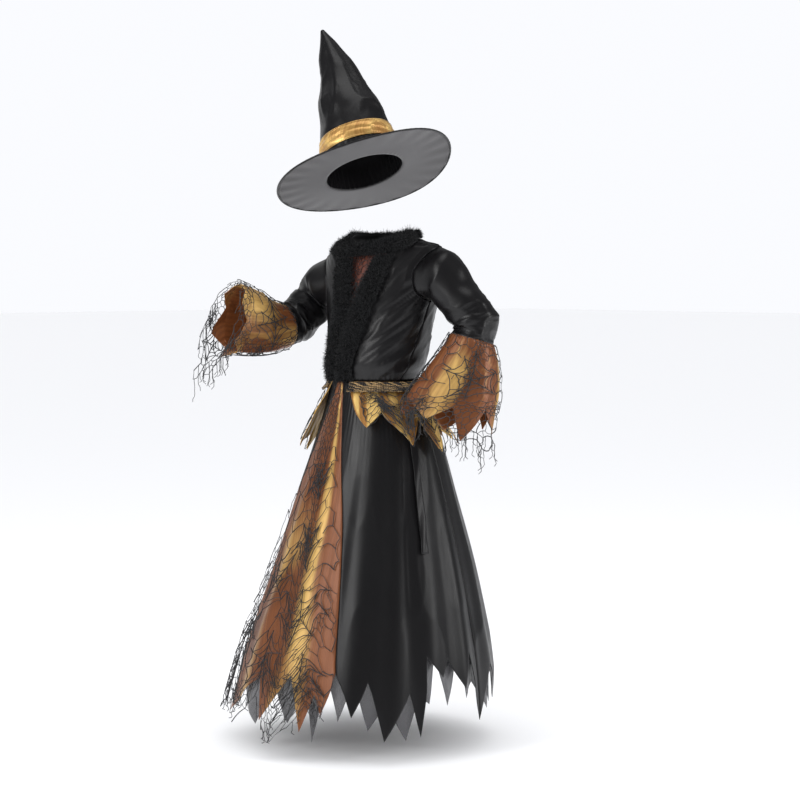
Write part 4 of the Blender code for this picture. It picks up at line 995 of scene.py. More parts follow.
def strands(name, roots, ways, reach, seed):
    """Make fur: one thin curved strand at each root, one mesh in all."""
    tufts = np.random.default_rng(seed)
    count = len(roots)
    bend = unit(tufts.normal(size=(count, 3)))
    bend = unit(bend - ways * np.sum(bend * ways, axis=1, keepdims=True))
    lean = tufts.uniform(0.15, 0.95, size=(count, 1))
    droop = np.array([0, 0, -1.0]) * tufts.uniform(0.0, 0.45, size=(count, 1))
    tall = reach[:, None] * tufts.uniform(0.55, 1.0, size=(count, 1))
    broad = unit(np.cross(ways, bend)) * STRAND_WIDTH / 2
    points, tips = [], []
    for step, share in enumerate((0.0, 0.4, 0.75, 1.0)):
        curve = (bend * lean + droop) * share**1.6
        middle = roots + tall * (ways * share * (1 - 0.25 * lean * share) + curve)
        narrow = (1.0, 0.95, 0.7, 0.12)[step]
        points += [middle - broad * narrow, middle + broad * narrow]
        tips += [np.full(count, share), np.full(count, share)]
    points = np.stack(points, axis=1).reshape(-1, 3)
    tips = np.stack(tips, axis=1).reshape(-1)
    base = np.arange(count)[:, None] * 8
    faces = np.concatenate([base + np.array([k, k + 1, k + 3, k + 2]) for k in (0, 2, 4)])
    return make_piece(name, points, faces, FUR, masks={"tip": tips})


def fur_bed(name, grid, wrap):
    """Make the dark bed that the fur grows from."""
    # The bed has no tip mask, so it takes the roots' painted shade all over.
    cloth(name, grid, FUR, CHEST_MIDDLE, thickness=FUR_BED, wrap=wrap)


def front_fur(side, name):
    """Make the fur down one front edge."""
    tufts = np.random.default_rng(40 + side)
    low_z = WAIST_Z + 0.001

    def places(s, t):
        z = FUR_FRONT_TOP_Z + (low_z - FUR_FRONT_TOP_Z) * t
        middle = smooth_at(EDGE_BY_HEIGHT, EDGE_COLUMNS, z, "aside")
        aside = np.maximum(middle + FUR_HALF_WIDTH * s, SEAM)
        return side * theta_aside(z, aside), z

    s, t = np.meshgrid(np.linspace(-0.92, 0.92, 13), np.linspace(0.01, 0.99, 60), indexing="ij")
    theta, z = places(s, t)
    dome = np.sqrt(1 - s**2)
    fur_bed(f"{name}_bed", on_body(theta, z, CLOTH_BASE + 0.0012 + 0.005 * dome), False)
    s = tufts.uniform(-0.97, 0.97, FRONT_STRANDS)
    t = tufts.uniform(0.0, 1.0, FRONT_STRANDS)
    theta, z = places(s, t)
    dome = np.sqrt(1 - s**2) * (0.75 + 0.25 * np.sin(np.pi * t))
    roots = on_body(theta, z, CLOTH_BASE + 0.0012 + 0.006 * dome)
    ways = unit(body_normal(theta, z) + side_way(theta, z) * (0.75 * s * side)[:, None])
    clump = drift(t * 24, s * 3, 9 + side)
    reach = (FUR_EDGE + (FUR_HEIGHT - FUR_EDGE) * dome) * (0.64 + 0.66 * clump)
    piece = strands(f"{name}_strands", roots, ways, reach, 50 + side)
    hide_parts(name)


def side_way(theta, z):
    """Return the direction round the body, towards growing angles."""
    return unit(body_point(theta + 0.8, z) - body_point(theta - 0.8, z))


def collar_fur():
    """Make the ring of fur round the neck."""
    tufts = np.random.default_rng(61)

    def places(theta, s):
        front = np.maximum(np.cos(np.radians(theta)), 0.0) ** 1.5
        drop = COLLAR_SIDE_DROP + (COLLAR_FRONT_DROP - COLLAR_SIDE_DROP) * front
        top = COLLAR_TOP_Z - COLLAR_TOP_DIP * front
        return top - (top + drop) * s

    around = np.linspace(0, 360, 120, endpoint=False)
    theta, s = np.meshgrid(around, np.linspace(0.04, 0.96, 12), indexing="ij")
    dome = np.sin(np.pi * (0.08 + 0.84 * s))
    fur_bed("fur_collar_bed", on_body(theta, places(theta, s), CLOTH_BASE + 0.0020 + 0.006 * dome), True)
    theta = tufts.uniform(0, 360, COLLAR_STRANDS)
    s = tufts.uniform(0.0, 1.0, COLLAR_STRANDS)
    dome = np.sin(np.pi * (0.08 + 0.84 * s))
    z = places(theta, s)
    roots = on_body(theta, z, CLOTH_BASE + 0.0020 + 0.007 * dome)
    ways = unit(body_normal(theta, z) + np.array([0, 0, 1.0]) * (0.9 * (0.5 - s))[:, None])
    clump = drift(theta / 9, s * 3, 12, around=40)
    reach = (FUR_EDGE + (FUR_HEIGHT - FUR_EDGE) * dome * 0.85) * (0.64 + 0.66 * clump)
    piece = strands("fur_collar_strands", roots, ways, reach, 62)
    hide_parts("fur_collar")


def hem_angles(start, end):
    """Return angles from one seam to another, with every point and notch of the hem among them."""
    rows = [row[0] for row in HEM if start <= row[0] <= end]
    parts = [np.linspace(a, b, HEM_STEPS, endpoint=False) for a, b in zip(rows, rows[1:])]
    return np.concatenate([*parts, [rows[-1]]])


def gore_angle(theta, z):
    """Slide angles of the gore or its neighbours so that the gore narrows towards the waist."""
    half = smooth_at(GORE, GORE_COLUMNS, z, "half_angle")
    around = angle_between(theta, 0)
    seam = np.where(around > 0, GORE_LEFT_SEAM, -GORE_RIGHT_SEAM)
    slid = half + (180 - half) * (np.abs(around) - seam) / (180 - seam)
    return np.where(np.abs(around) <= seam, around * half / seam, np.where(around > 0, slid, -slid))


def skirt_relief(theta, z):
    """Return the skirt's waist gathers and its soft uneven folds."""
    below = WAIST_Z - z
    turn = theta % 360
    wobble = 5 * drift(turn / 12, below / 0.2, 3, around=30)
    gathers = 0.0016 * np.sin(turn / 0.62 + wobble) * np.exp(-below / 0.05)
    deep = ramp(below, 0.02, 0.35)
    folds = 0.0050 * (drift(turn / 7.5, below / 0.42, 17, around=48) - 0.5) * deep
    ridges = 0.0034 * (creased(turn / 18, below / 0.38, 23, around=20) - 0.3) * deep
    return gathers + folds + ridges


def fold_crests(theta, z):
    """Return where the long folds stand out, from 0 to 1."""
    crest_highlight = 0.0
    for middle, spread, height in SKIRT_FOLDS:
        away = angle_between(theta, middle + 1.5 * np.sin(z / 0.09 + middle))
        crest_highlight = crest_highlight + np.exp(-((away / (0.36 * spread)) ** 2)) * height / 0.012
    return np.minimum(crest_highlight, 1.0)


def gore_highlight(theta, z):
    """Return the painted highlight in gold on the gore: a long streak, the crests of its folds and patches
    lower down.
    """
    across = angle_between(theta, 0) / smooth_at(GORE, GORE_COLUMNS, z, "half_angle")
    middle = 0.72 - 0.20 * ramp(-z, 0.34, 0.62) + 0.03 * np.sin(z / 0.05)
    streak = np.exp(-(((across - middle) / 0.13) ** 2)) * (0.70 + 0.45 * drift(z / 0.07, 0.3, 67))
    folds = fold_crests(theta, z) * drift(theta / 7, z / 0.16, 61)
    patches = ramp(drift(theta / 13, z / 0.20, 63), 0.42, 0.76) * ramp(-z, 0.48, 0.70)
    return 0.04 + 0.95 * streak + 0.38 * folds + 0.62 * patches


def skirt():
    """Make the gore and the three black panels with their pointed hems."""
    panels = [
        ("skirt_front", GORE_RIGHT_SEAM, GORE_LEFT_SEAM, COPPER, "copper_satin"),
        ("skirt_left", GORE_LEFT_SEAM, SIDE_SEAM, BLACK, "black_satin"),
        ("skirt_back", SIDE_SEAM, BACK_SEAM, BLACK, "black_satin"),
        ("skirt_right", BACK_SEAM, 360 + GORE_RIGHT_SEAM, BLACK, "black_satin"),
    ]
    for name, start, end, look, slot_name in panels:
        angles = hem_angles(start, end)
        low = straight_at(HEM, angles)[:, None]
        t = np.linspace(0, 1, SKIRT_STEPS)[None]
        z = WAIST_Z - SEAM + (low - WAIST_Z + SEAM) * t
        theta = gore_angle(np.broadcast_to(angles[:, None], z.shape), z)
        relief = skirt_relief(theta, z)
        # Only the gore gets the painted highlight.
        crest_highlight = gore_highlight(theta, z) if look is COPPER else 0.0
        inner = on_body(theta, z, np.full(z.shape, SKIN_START))
        piece = cloth(
            f"{name}_cloth", inner, look, (0, 0, -0.6), name,
            seams=("first", "last", "top"), relief=relief, crest_highlight=crest_highlight,
        )


def underlayer():
    """Make the sheer layer behind the hem, with its points between the satin's points."""
    hem = []
    for k, (theta, z) in enumerate(HEM):
        low = z + UNDER_NOTCH_RISE if k % 2 else z - UNDER_POINT_DROP
        hem.append((theta, min(low, UNDERLAYER_TOP_Z - UNDER_LEAST)))
    for name, start, end in (("underlayer_left", -46, 134), ("underlayer_right", 134, 314)):
        angles = hem_angles(start, end)
        low = straight_at(hem, angles)[:, None]
        t = np.linspace(0, 1, 44)[None]
        z = UNDERLAYER_TOP_Z + (low - UNDERLAYER_TOP_Z) * t
        theta = gore_angle(np.broadcast_to(angles[:, None], z.shape), z)
        flutter = 0.002 * (drift(theta % 360 / 5, z / 0.1, 8, around=72) - 0.8) * t
        inner = on_body(theta, z, np.broadcast_to(-0.0033 - UNDER_SINK * t, z.shape))
        piece = cloth(
            f"{name}_cloth", inner, UNDER_SHEER, (0, 0, -0.9), name,
            thickness=SHEER, relief=skirt_relief(theta, z) - 0.0022 + flutter,
        )


def peplum_place(waist, t):
    """Return the peplum's angle, height and stand-off at angles of its waist and a share of its length."""
    starts, lows, heights = np.array(PEPLUM).T
    wave = np.where(np.arange(len(starts)) % 2 == 1, 1.0, -1.0)
    low, z_low, swing = (np.interp(waist, starts, values) for values in (lows, heights, wave))
    z = WAIST_Z - 2 * SEAM + (z_low - WAIST_Z) * t
    swing = np.sin(0.5 * np.pi * swing)
    out = CLOTH_BASE + 4 * SEAM + (PEPLUM_STAND_OFF + PEPLUM_FLUTE * swing) * t**PEPLUM_CURVE
    return waist + (low - waist) * t, z, out


def peplum_relief(waist, t):
    """Return the peplum's folds, sharp and slanted as in a stiff bright satin."""
    slanted = creased(waist / 21 + 0.9 * t, t * 1.1 - waist / 60, 71)
    across = drift(waist / 15 - 1.2 * t, t * 1.7 + waist / 33, 75)
    gathers = np.sin(waist / 0.75) * np.exp(-t / 0.12) * 0.0010
    return (0.0055 * (slanted - 0.35) + 0.0060 * (across - 0.5)) * t * (1.25 - 0.5 * t) + gathers


def peplum():
    """Make the pointed gold peplum in three pieces, under the nets on its two sides."""
    pieces = [
        ("peplum_left", PEPLUM[0][0], PEPLUM_SEAMS[0]),
        ("peplum_back", PEPLUM_SEAMS[0], PEPLUM_SEAMS[1]),
        ("peplum_right", PEPLUM_SEAMS[1], PEPLUM[-1][0]),
    ]
    for name, start, end in pieces:
        rows = [row[0] for row in PEPLUM if start <= row[0] <= end]
        parts = [np.linspace(a, b, 12, endpoint=False) for a, b in zip(rows, rows[1:])]
        waist = np.concatenate([*parts, [rows[-1]]])[:, None]
        t = np.linspace(0, 1, 60)[None]
        theta, z, out = peplum_place(np.broadcast_to(waist, (len(waist), 60)), t)
        relief = peplum_relief(waist, t)
        # Painted highlight in broad patches, a little stronger towards the points.
        crest_highlight = 0.95 * ramp(drift(waist / 8 + 1.5 * t, t * 1.4 - waist / 30, 83), 0.30, 0.75) + 0.10 * t
        look = COPPER if name == "peplum_right" else GOLD
        piece = cloth(
            f"{name}_cloth", on_body(theta, z, out), look, (0, 0, -0.38), name,
            relief=relief, crest_highlight=crest_highlight,
        )


def waist_lace():
    """Make the gathered lace strip round the waist, with a scalloped lower edge."""
    theta = np.linspace(22, 338, 1000)[:, None]
    t = np.linspace(0, 1, 9)[None]
    scallop = 0.0022 * np.abs(np.sin(theta / 2.6))
    z = WAIST_Z - 0.001 - (LACE_HEIGHT - scallop) * t
    lift = 0.0052 + PEPLUM_STAND_OFF * (LACE_HEIGHT * t / 0.066) ** PEPLUM_CURVE + 0.0016 * t
    gather = 0.0013 * (1 + np.sin(theta / 0.42 + 4 * drift(theta / 7, 0, 2))) * (0.35 + 0.65 * t)
    gather = gather + 0.0012 * (1 + np.cos(theta / 1.9))
    inner = on_body(np.broadcast_to(theta, z.shape), z, lift + gather)
    piece = cloth("waist_lace_strip", inner, LACE, (0, 0, -0.31), "waist_lace", thickness=0.0009)


def tie_ribbon():
    """Make the narrow twisted tie that hangs from the waist over the skirt's left side."""
    t = np.linspace(0, 1, 90)[None]
    s = np.linspace(-1, 1, 9)[:, None]
    z = -0.345 - 0.310 * t
    width = smooth_at(BODY, BODY_COLUMNS, z, "half_width")
    twist = np.sin(2.2 * np.pi * t)
    theta = 88 + np.degrees(s * RIBBON_WIDTH / 2 * (0.75 + 0.25 * np.abs(twist)) / width)
    z = np.broadcast_to(z, theta.shape)
    out = CLOTH_BASE + 0.0022 + 0.0024 * np.minimum(9 * t / 2, 1) + 0.0016 * (1 + s * twist)
    inner = on_body(theta, z, out + skirt_relief(theta, z))
    ripple = 0.0012 * np.sin(16 * t + 2 * s) * t
    piece = cloth(
        "tie_ribbon_cloth", inner, BLACK, (0, 0, -0.5), "tie_ribbon",
        thickness=0.0007, relief=ripple,
    )


def turned(sides, old, new):
    """Turn two side vectors by the smallest turn from one direction to another."""
    turn = Vector(old).rotation_difference(Vector(new)).to_matrix()
    return [np.array(turn @ Vector(vector)) for vector in sides]


def smoothed(rings, steps):
    """Run smooth curves through rings of points and read them at more places."""
    count = rings.shape[1]
    at = np.linspace(0, count - 1, steps)
    k = np.clip(at.astype(int), 0, count - 2)
    t = (at - k)[None, :, None]
    before, here = rings[:, np.maximum(k - 1, 0)], rings[:, k]
    there, after = rings[:, k + 1], rings[:, np.minimum(k + 2, count - 1)]
    bend = (2 * before - 5 * here + 4 * there - after) * t**2
    swing = (3 * here - before - 3 * there + after) * t**3
    return 0.5 * (2 * here + (there - before) * t + (bend + swing))


def sleeve_rings(side, rows, seam_way):
    """Return rings of points along a sleeve's inner face, from its armhole to the elbow seam."""
    places = armhole_place(np.arange(ARMHOLE_STEPS) / ARMHOLE_STEPS, side)
    hole = body_point(places[:, 0], places[:, 1])
    way = body_normal(places[:, 0], places[:, 1])
    middle = hole.mean(axis=0)
    inward = middle - hole
    inward = unit(inward - way * np.sum(inward * way, axis=1, keepdims=True))
    rings = [hole + inward * SEAM * 1.5]
    middles = np.array([row[:3] for row in rows])
    ways = [unit(middles[0] - middle)]
    for k in range(len(rows) - 1):
        ways.append(unit(middles[k + 1] - (middles[k - 1] if k else middle)))
    ways.append(unit(seam_way))
    last = unit((side, 0.2 * side, 0.0))
    for k, share in enumerate(SLEEVE_TURN):
        ways[k + 1] = unit(ways[k + 1] * (1 - share) + last * share)
    sides = [np.array([0, 0, 1.0]), unit(np.cross((0, 0, 1.0), last)) * -side]
    if sides[1][1] > 0:
        sides[1] = -sides[1]
    angle = 2 * np.pi * np.arange(ARMHOLE_STEPS)[:, None] / ARMHOLE_STEPS
    for k, row in enumerate(rows):
        sides = turned(sides, last, ways[k + 1])
        last = ways[k + 1]
        up, ahead = (unit(vector - last * np.dot(vector, last)) for vector in sides)
        fold = 0.0022 * np.sin(3 * angle + 1.9 * k) * (k < len(rows) - 1)
        rings.append(middles[k] + (up * np.cos(angle) + ahead * np.sin(angle)) * (row[3] + fold - SATIN))
    return np.stack(rings, axis=1)


def sleeve(name, side, rows, seam_way):
    """Make a sleeve, with the creases of a bent arm's cloth."""
    grid = smoothed(sleeve_rings(side, rows, seam_way), SLEEVE_STEPS)
    share = np.arange(ARMHOLE_STEPS)[:, None] / ARMHOLE_STEPS
    t = np.linspace(0, 1, grid.shape[1])[None]
    seed = 90 if side > 0 else 96
    slanted = creased(4 * share + 0.8 * t, 3.2 * t, seed, around=4)
    elbow = creased(5 * share, 7.5 * t, seed + 2, around=5) * ramp(t, 0.45, 0.8)
    ease = ramp(t, 0.0, 0.12) * (1 - ramp(t, 0.93, 1.0))
    relief = (0.0060 * (slanted - 0.3) + 0.0042 * (elbow - 0.2)) * ease
    piece = cloth(
        f"{name}_cloth", grid, BLACK, grid.mean(axis=(0, 1)), name,
        wrap=True, seams=("top", "low"), relief=relief,
    )


def cuff_point(cut, share, t, grow):
    """Return points of a bell cuff at shares round it and shares t of the way to its mouth."""
    rows, start_way, end_way, long_way = cut
    share, t = np.broadcast_arrays(np.asarray(share, float), np.asarray(t, float))
    keyed = [(k / (len(rows) - 1), *row) for k, row in enumerate(rows)]
    names = ("t", *CUFF_COLUMNS)
    x, y, z, half_long, half_short = (smooth_at(keyed, names, t, name) for name in CUFF_COLUMNS)
    way = unit(unit(start_way) * (1 - t)[..., None] + unit(end_way) * t[..., None])
    along = unit(np.array(long_way) - way * np.sum(way * np.array(long_way), axis=-1, keepdims=True))
    across = np.cross(way, along)
    angle = 2 * np.pi * share
    size = grow + CUFF_FLUTE * t * np.cos(CUFF_FLUTES * angle)
    middle = np.stack([x, y, z], axis=-1)
    long_part = along * ((half_long + size) * np.cos(angle))[..., None]
    return middle + long_part + across * ((half_short + size) * np.sin(angle))[..., None]


def cuff_end(cut, share, reach, grow, hang):
    """Return the ends of a cuff's lines past its mouth; hang, from 0 to 1, lets them droop."""
    mouth = cuff_point(cut, share, 1.0, grow)
    way = unit(mouth - cuff_point(cut, share, 0.8, grow))
    hang = np.broadcast_to(hang, np.shape(share))[..., None]
    return mouth + unit(way * (1 - hang) + np.array([0, 0, -1.0]) * hang) * np.asarray(reach)[..., None]


def cuff_relief(share, t, seed):
    """Return the folds that widen towards a cuff's mouth."""
    long_folds = creased(8 * share, 1.1 * t, seed, around=8) - 0.3
    soft = drift(5 * share, 2.0 * t, seed + 4, around=5) - 0.5
    gathers = 0.0009 * np.sin(2 * np.pi * 34 * share) * np.exp(-t / 0.10)
    return (0.0055 * long_folds + 0.0060 * soft) * ramp(t, 0.0, 0.7) + gathers


def cuff(side, cut, teeth, tails, hangs, seed):
    """Make a bell cuff with a pointed hem, and the net over it."""
    name = f"cuff_{side}"
    nets = cuff_nets(side, cut, tails, hangs, seed)
    share = np.arange(CUFF_SIDES)[:, None] / CUFF_SIDES
    t = np.linspace(0, 1, 54)[None]
    bell = cuff_point(cut, *np.broadcast_arrays(share, t), -SATIN)
    reach = np.maximum(straight_at(teeth, share), 0.001) * np.linspace(0, 1, 16)[None, 1:]
    points = cuff_end(cut, np.broadcast_to(share, reach.shape), reach, -SATIN, TOOTH_HANG)
    grid = np.concatenate([bell, points], axis=1)
    t = np.concatenate([t, np.ones((1, 15))], axis=1)
    # Painted highlight in patches and on the crests of ridges.
    patches = ramp(drift(7 * share, 1.6 * t, seed + 8, around=7), 0.38, 0.85)
    ridges = ramp(creased(11 * share, 1.4 * t, seed + 9, around=11), 0.4, 0.9)
    piece = cloth(
        f"{name}_cloth", grid, COPPER, grid.mean(axis=(0, 1)), name,
        wrap=True, seams=("top",), relief=cuff_relief(share, t, seed),
        crest_highlight=0.04 + 0.75 * patches + 0.35 * ridges,
    )


def tubes(name, paths, normals, radii, look):
    """Make three-sided threads along paths that all have the same number of points, as one mesh."""
    count, places = paths.shape[:2]
    tangents = unit(np.gradient(paths, axis=1))
    side = unit(np.cross(tangents, normals))
    rise = np.cross(side, tangents)
    radii = np.broadcast_to(np.asarray(radii, float).reshape(-1, 1, 1), (count, places, 1))
    ring = []
    for angle in (90, 210, 330):
        turn = math.radians(angle)
        ring.append(paths + (side * math.cos(turn) + rise * math.sin(turn)) * radii)
    points = np.stack(ring, axis=2).reshape(-1, 3)
    index = np.arange(count * places * 3).reshape(count, places, 3)
    faces = []
    for k in range(3):
        m = (k + 1) % 3
        side = [index[:, :-1, k], index[:, :-1, m], index[:, 1:, m], index[:, 1:, k]]
        faces.append(np.stack(side, axis=-1).reshape(-1, 4))
    return make_piece(name, points, np.concatenate(faces), look)


def distance_to(points, path):
    """Return the distance from points in a plane to a line of points."""
    nearest = np.full(len(points), 1e9)
    for a, b in zip(path, path[1:]):
        a, b = np.array(a, float), np.array(b, float)
        along = np.clip(np.sum((points - a) * (b - a), axis=1) / np.sum((b - a) ** 2), 0, 1)
        nearest = np.minimum(nearest, np.linalg.norm(points - a - along[:, None] * (b - a), axis=1))
    return nearest


def cobweb(middle, reach, seed):
    """Return the threads of one cobweb: straight uneven spokes, and rings that sag between them."""
    scatter = np.random.default_rng(seed)
    count = int(scatter.integers(6, 9))
    turns = 2 * np.pi * (np.arange(count) + scatter.uniform(-0.28, 0.28, count)) / count
    ends = np.stack([np.cos(turns), np.sin(turns)], axis=-1) * reach * scatter.uniform(0.75, 1.25, (count, 1))
    t = np.linspace(0, 1, 4)[:, None]
    lines = [(middle + end * (low + 0.25 * t), 1.0) for end in ends for low in (0.0, 0.25, 0.5, 0.75)]
    for ring in (0.26, 0.54, 0.86):
        for a, b in zip(ends, np.roll(ends, -1, axis=0)):
            wobble = scatter.uniform(0.9, 1.1, (2, 1))
            a, b = a * ring * wobble[0], b * ring * wobble[1]
            lines.append((middle + a * (1 - t) + b * t - (a + b) * 0.40 * t * (1 - t), 0.85))
    return lines


def web(size, lacy, hubs, wide, narrow, seed, closed=False):
    """Return the threads of a web in a plane, each as four points, and how thick each is.

    Its cells are wide, with narrow ones along the lacy lines, and there is a cobweb at each hub. A closed web
    joins its left edge to its right edge.
    """
    scatter = np.random.default_rng(seed)
    width, height = size
    darts = scatter.uniform((0, -0.01), (width, height + 0.01), size=(9000, 2))
    near = np.full(len(darts), 1e9)
    for path, spread in lacy:
        near = np.minimum(near, distance_to(darts, path) / spread)
    gaps = np.where(near < 1, narrow, narrow + (wide - narrow) * ramp(near, 1, 2.6))
    gaps = gaps * scatter.uniform(0.50, 1.35, size=len(gaps))
    kept = np.zeros((0, 2))
    for dart, gap in zip(darts, gaps):
        away = kept - dart
        if closed:
            away[:, 0] = (away[:, 0] + width / 2) % width - width / 2
        if not len(kept) or np.min(np.sum(away**2, axis=1)) > gap**2:
            kept = np.vstack([kept, dart])
    if closed:
        margin = 0.12
        left, right = kept[kept[:, 0] < margin], kept[kept[:, 0] > width - margin]
        kept = np.vstack([kept, left + (width, 0), right - (width, 0)])
    made = delaunay_2d_cdt([Vector(point) for point in kept], [], [], 0, 1e-7)
    verts = np.array([tuple(vert) for vert in made[0]])
    middles = np.array([verts[list(face)].mean(axis=0) for face in made[2]])
    beside = {}
    for k, face in enumerate(made[2]):
        for a, b in zip(face, (*face[1:], face[0])):
            beside.setdefault((min(a, b), max(a, b)), []).append(k)
    pairs = np.array([both for both in beside.values() if len(both) == 2])
    start, end = middles[pairs[:, 0]], middles[pairs[:, 1]]
    length = np.linalg.norm(end - start, axis=1)
    centre = (start + end) / 2
    keep = (length < 2.2 * wide) & (centre[:, 0] >= 0) & (centre[:, 0] < width)
    keep &= (centre[:, 1] > -0.002) & (centre[:, 1] < height)
    for x, y, reach in hubs:
        keep &= (np.hypot(centre[:, 0] - x, centre[:, 1] - y) > 0.80 * reach) | (length < 0.25 * wide)
    start, end, length = start[keep], end[keep], length[keep]
    bow = scatter.uniform(-0.16, 0.16, size=(len(start), 1)) * length[:, None]
    aside = np.stack([start[:, 1] - end[:, 1], end[:, 0] - start[:, 0]], axis=-1) / length[:, None]
    t = np.linspace(0, 1, 4)[None, :, None]
    lines = start[:, None] * (1 - t) + end[:, None] * t + (aside * bow)[:, None] * 4 * t * (1 - t)
    thick = np.where(length > 0.5 * wide, 1.0, 0.66) * scatter.uniform(0.8, 1.15, size=len(start))
    for k, (x, y, reach) in enumerate(hubs):
        threads = cobweb(np.array([x, y]), reach, seed * 10 + k)
        lines = np.concatenate([lines, [line for line, _ in threads]])
        thick = np.concatenate([thick, [share for _, share in threads]])
    return lines, thick


def gore_net():
    """Make the web net over the gore, wider than it towards the hem, where it is ragged."""
    length = 0.675
    tails = [0.055 * (k % 2) + 0.01 * (k % 3) for k in range(8)]

    def spread(down):
        z = WAIST_Z - 0.014 - down
        half = smooth_at(GORE, GORE_COLUMNS, z, "half_angle")
        return half, 2 * np.radians(half) * smooth_at(BODY, BODY_COLUMNS, z, "half_width") * 1.06

    lacy = [
        ([(0.235, 0.00), (0.250, 0.20), (0.285, 0.36), (0.300, 0.52), (0.330, 0.70)], 0.011),
        ([(0.200, 0.00), (0.215, 0.10), (0.235, 0.18)], 0.008),
        ([(0.150, 0.34), (0.130, 0.48), (0.150, 0.62), (0.130, 0.70)], 0.009),
        ([(0.020, 0.60), (0.110, 0.575), (0.200, 0.625), (0.290, 0.585), (0.420, 0.63)], 0.012),
        ([(0.380, 0.42), (0.350, 0.55), (0.385, 0.68)], 0.008),
    ]
    hubs = [
        (0.245, 0.190, 0.040), (0.272, 0.315, 0.048), (0.205, 0.395, 0.062), (0.318, 0.455, 0.070),
        (0.135, 0.520, 0.068), (0.245, 0.575, 0.066), (0.365, 0.600, 0.058), (0.060, 0.620, 0.050),
    ]
    lines, thick = web((0.450, length), lacy, hubs, 0.052, 0.0090, 22)
    down = lines[..., 1]
    half, width = spread(down)
    s = (lines[..., 0] - 0.225) / width + 0.5
    t = np.clip(down / length, 0, 1.02)
    inside = ((s > -0.01) & (s < 1.01)).all(axis=1)
    ragged = np.interp(s, np.linspace(0, 1, 8), tails)
    lines, thick, s, t, half, ragged = (values[inside] for values in (lines, thick, s, t, half, ragged))
    z = WAIST_Z - 0.014 + (-0.955 - ragged - WAIST_Z) * t
    theta = half * (2 * s - 1) - 7 * t**2 * (1 - s)
    free = 0.028 * np.maximum(t - 0.35, 0) / 0.65 * (1 - s) ** 2
    out = CLOTH_BASE + NET_LIFT + 0.0014 * np.minimum(4 * t, 1) + free + skirt_relief(theta, z)
    paths, normals = on_body(theta, z, out), body_normal(theta, z)
    tail_paths, tail_normals = loose_tails(paths, t[:, 1] > 0.93, 46, 0.030, 23)
    main = tubes("gore_web_net", paths, normals, THREAD * thick, NET)
    tail = tubes("gore_web_tails", tail_paths, tail_normals, THREAD * 0.7, NET)
    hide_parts("skirt_front_net")
    return main, tail


def loose_tails(paths, last, count, reach, seed):
    """Return thin loose thread ends that hang from a net's last threads."""
    pick = np.random.default_rng(seed)
    starts = paths[pick.choice(np.flatnonzero(last), size=count), 1]
    t = np.linspace(0, 1, 9)[None, :, None]
    fall = pick.uniform(0.35, 1.0, size=(count, 1, 1)) * reach
    turn = pick.uniform(0, 2 * np.pi, size=(count, 1, 1))
    sway = np.concatenate([np.cos(turn + 12 * t), np.sin(turn + 9 * t), np.zeros_like(turn + t)], axis=-1)
    tails = starts[:, None] + fall * t * np.array([0, 0, -1.0]) + sway * 0.0060 * t
    return tails, np.broadcast_to(unit((0.5, -0.8, 0.2)), tails.shape)


def peplum_net(name, start, end, seed):
    """Make the web net over one side of the peplum, between two angles of its waist."""
    width, height = 0.215, 0.150
    lacy = [([(0.0, 0.03), (0.07, 0.06), (0.14, 0.03), (0.215, 0.07)], 0.007)]
    hubs = [(0.060, 0.075, 0.042), (0.150, 0.070, 0.045)]
    lines, thick = web((width, height), lacy, hubs, 0.032, 0.0080, seed)
    waist = start + (end - start) * lines[..., 0] / width
    t = np.clip(0.22 + 0.84 * lines[..., 1] / height, 0, 1.06)
    theta, z, out = peplum_place(waist, t)
    paths = on_body(theta, z, out + 0.0055 + peplum_relief(waist, t))
    piece = tubes(f"{name}_web", paths, body_normal(theta, z), THREAD * thick, NET)
    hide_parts(name)
    return piece


def insert_net():
    """Make the close web over the rust insert."""
    width, height = 0.100, 0.262
    lacy = [([(0.03, 0.0), (0.05, 0.12), (0.045, 0.262)], 0.007)]
    hubs = [(0.050, 0.070, 0.030), (0.052, 0.160, 0.026)]
    lines, thick = web((width, height), lacy, hubs, 0.018, 0.0062, 31)
    z = -0.034 - lines[..., 1]
    aside = lines[..., 0] - width / 2
    inside = (np.abs(aside) < smooth_at(EDGE_BY_HEIGHT, EDGE_COLUMNS, z, "aside")).all(axis=1)
    z, aside, thick = (values[inside] for values in (z, aside, thick))
    theta = theta_aside(z, aside)
    paths = on_body(theta, z, np.full(z.shape, -0.0012))
    return tubes("chest_insert_web", paths, body_normal(theta, z), THREAD * 0.8 * thick, NET)


